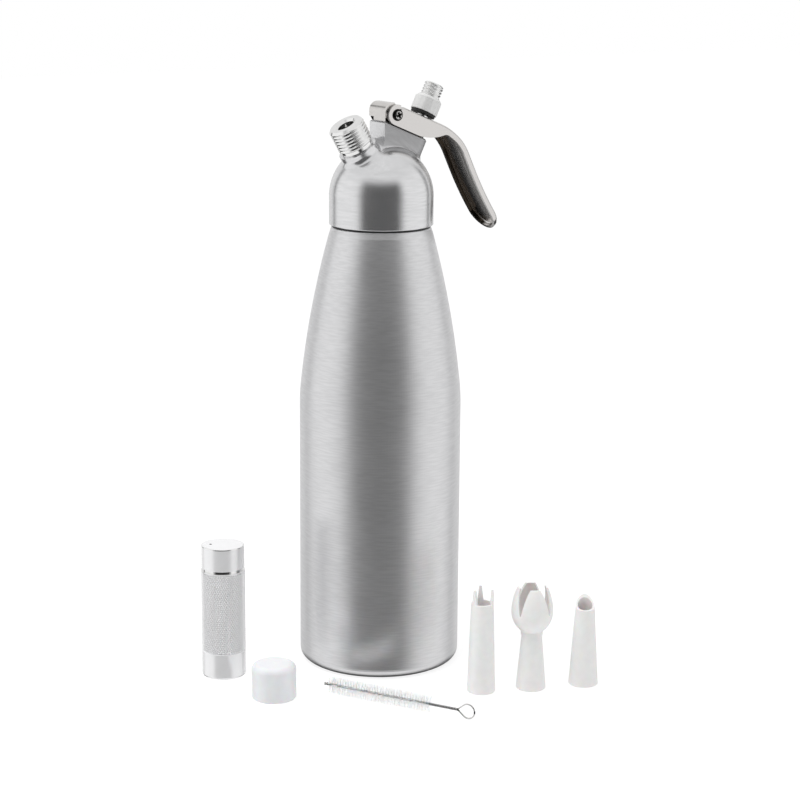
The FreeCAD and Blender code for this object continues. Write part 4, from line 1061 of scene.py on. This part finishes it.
touch = 90 + math.degrees(math.asin(LOOP_R / LOOP_REACH))
loop = [(x, 0, z) for x, z in round_corner(JOIN + LOOP_REACH, 0, LOOP_R, touch, -touch, 36)]
path = strand(1) + loop + strand(-1)[::-1]
wire_curve = bpy.data.curves.new("brush wire", "CURVE")
wire_curve.dimensions = "3D"
spline = wire_curve.splines.new("POLY")
spline.points.add(len(path) - 1)
for point, place in zip(spline.points, path):
    point.co = (*(c * MM for c in place), 1)
wire_curve.bevel_depth = STRAND_R * MM
wire_curve.bevel_resolution = 1
wire_curve.use_fill_caps = True
wire_curve.materials.append(wire_steel)
wire_mesh = baked(show("brush wire", wire_curve))
piece("twisted_wire", wire_mesh, BRUSH_AT, "brush", ("brush_wire",))

# %% [markdown]
# Each bristle is one thin cone instanced on a line of points. It turns with the twist, every
# second one to the other side, and seeded random numbers tip and shorten it a little.

# %% Tree: bristles
FAN, TIP_OVER, SHORTEST = 0.42, 0.16, 0.86
tuft, ends, out = new_group(
    "GeometryNodeTree", "Bristles along a twist",
    {"Start": "Geometry", "First": 0.0031, "Length": 0.0619, "Reach": 0.005,
     "Thickness": 0.00011, "Turns": 18.0, "Count": 1500, "Seed": 4, "Material": "Material"},
    {"Piece": "Geometry"})
places = get(tuft, "GeometryNodeMeshLine", {"Count": ends["Count"]})
index = get(tuft, "GeometryNodeInputIndex")
share = calc("DIVIDE", index, ends["Count"])


def chance(low, high, stream):
    """An even random number for each bristle, from the tree's seed."""
    return add(tuft, "FunctionNodeRandomValue", {
        2: low, 3: high, "Seed": calc("ADD", ends["Seed"], stream)},
        data_type="FLOAT").outputs[1]


flip = times(calc("FLOORED_MODULO", index, 2.0), math.pi)
angle = calc("ADD", calc("ADD", flip, chance(-FAN, FAN, 0.0)),
             times(share, ends["Turns"], math.tau))
along = calc("ADD", ends["First"], times(share, ends["Length"]))
spread = get(tuft, "GeometryNodeSetPosition", {0: places, "Position": joined(along)})
hair = get(tuft, "GeometryNodeMeshCone", {
    "Vertices": 4, "Radius Top": 0.7, "Radius Bottom": 1.0, "Depth": 1.0})
fan = joined(angle, chance(-TIP_OVER, TIP_OVER, 1.0))
reach = times(ends["Reach"], chance(SHORTEST, 1.0, 2.0))
hairs = get(tuft, "GeometryNodeInstanceOnPoints", {
    "Points": spread, "Instance": hair, "Rotation": fan,
    "Scale": joined(ends["Thickness"], ends["Thickness"], reach)})
dress(tuft, hairs, ends["Material"], out)
print("the bristles have", len(tuft.nodes), "nodes")

# %% Bristles
TUFT_FROM, TUFT_LENGTH, HAIR_REACH, HAIR_R, HAIRS = 3.6, 61.0, 4.95, 0.1, 1300
bristle_mesh = grown("bristles", bpy.data.meshes.new("bristle start"), tuft, {
    "First": TUFT_FROM * MM, "Length": TUFT_LENGTH * MM, "Reach": HAIR_REACH * MM,
    "Thickness": HAIR_R * MM, "Turns": TUFT_LENGTH / TWIST, "Count": HAIRS, "Material": nylon})
piece("nylon_bristles", bristle_mesh, BRUSH_AT, "brush", ("brush_bristles",))

# %% [markdown]
# ## CAD pieces that only need their finish
# The head, the lever, the block, the tips and everything inside keep their CAD shape. Each
# gets the material that its real counterpart has. The black of two rubber rings is also
# painted shade.

# %% Finishes for CAD pieces
# The black neck_ring and nut_seal sit in the gaps under the head and under the nut; their black is
# rubber and also painted shade for those deep gaps.
FINISHES = (
    (rubber, "neck_ring nut_seal head_gasket inlet_gasket check_valve stem_ring_lower "
             "stem_ring_upper valve_seal adaptor_gasket"),
    (inlet_metal, "piercing_pin inlet_nut valve_stem"), (screw_steel, "hinge_bolt valve_spring"),
    (tip_plastic, "tip_prongs tip_tulip tip_plain"), (head_metal, "head"), (brass, "valve_guide"),
    (lever_steel, "lever"), (block_steel, "hinge_block"))
for material, names in FINISHES:
    for name in names.split():
        for place in nodes[name].material_slots:
            place.material = material
    print(material.name, "on", names)

# %% [markdown]
# ## Valve spring
# The coil round the stem is squeezed when the lever comes down. A stiff piece can't follow
# that; here a copy of the coil is welded into one closed mesh and takes the CAD spring's
# place, and the height of each of its points along the valve's axis is worked out.

# %% Valve spring
STEM_PER_RADIAN, LEVER_TRAVEL, SAME = 0.02105, math.radians(7.0), 1e-6
coil_mesh = nodes["valve_spring"].data.copy()
shape = bmesh.new()
shape.from_mesh(coil_mesh)
bmesh.ops.remove_doubles(shape, verts=shape.verts, dist=SAME)
bmesh.ops.recalc_face_normals(shape, faces=shape.faces)
shape.to_mesh(coil_mesh)
shape.free()
along = valve_axis.to_3x3() @ Vector((0, 0, 1))
ends = [(corner.co - valve_axis.to_translation()).dot(along) for corner in coil_mesh.vertices]
coil = piece("valve_coil", coil_mesh, Matrix(), "head", ("valve_spring",))
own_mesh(coil)
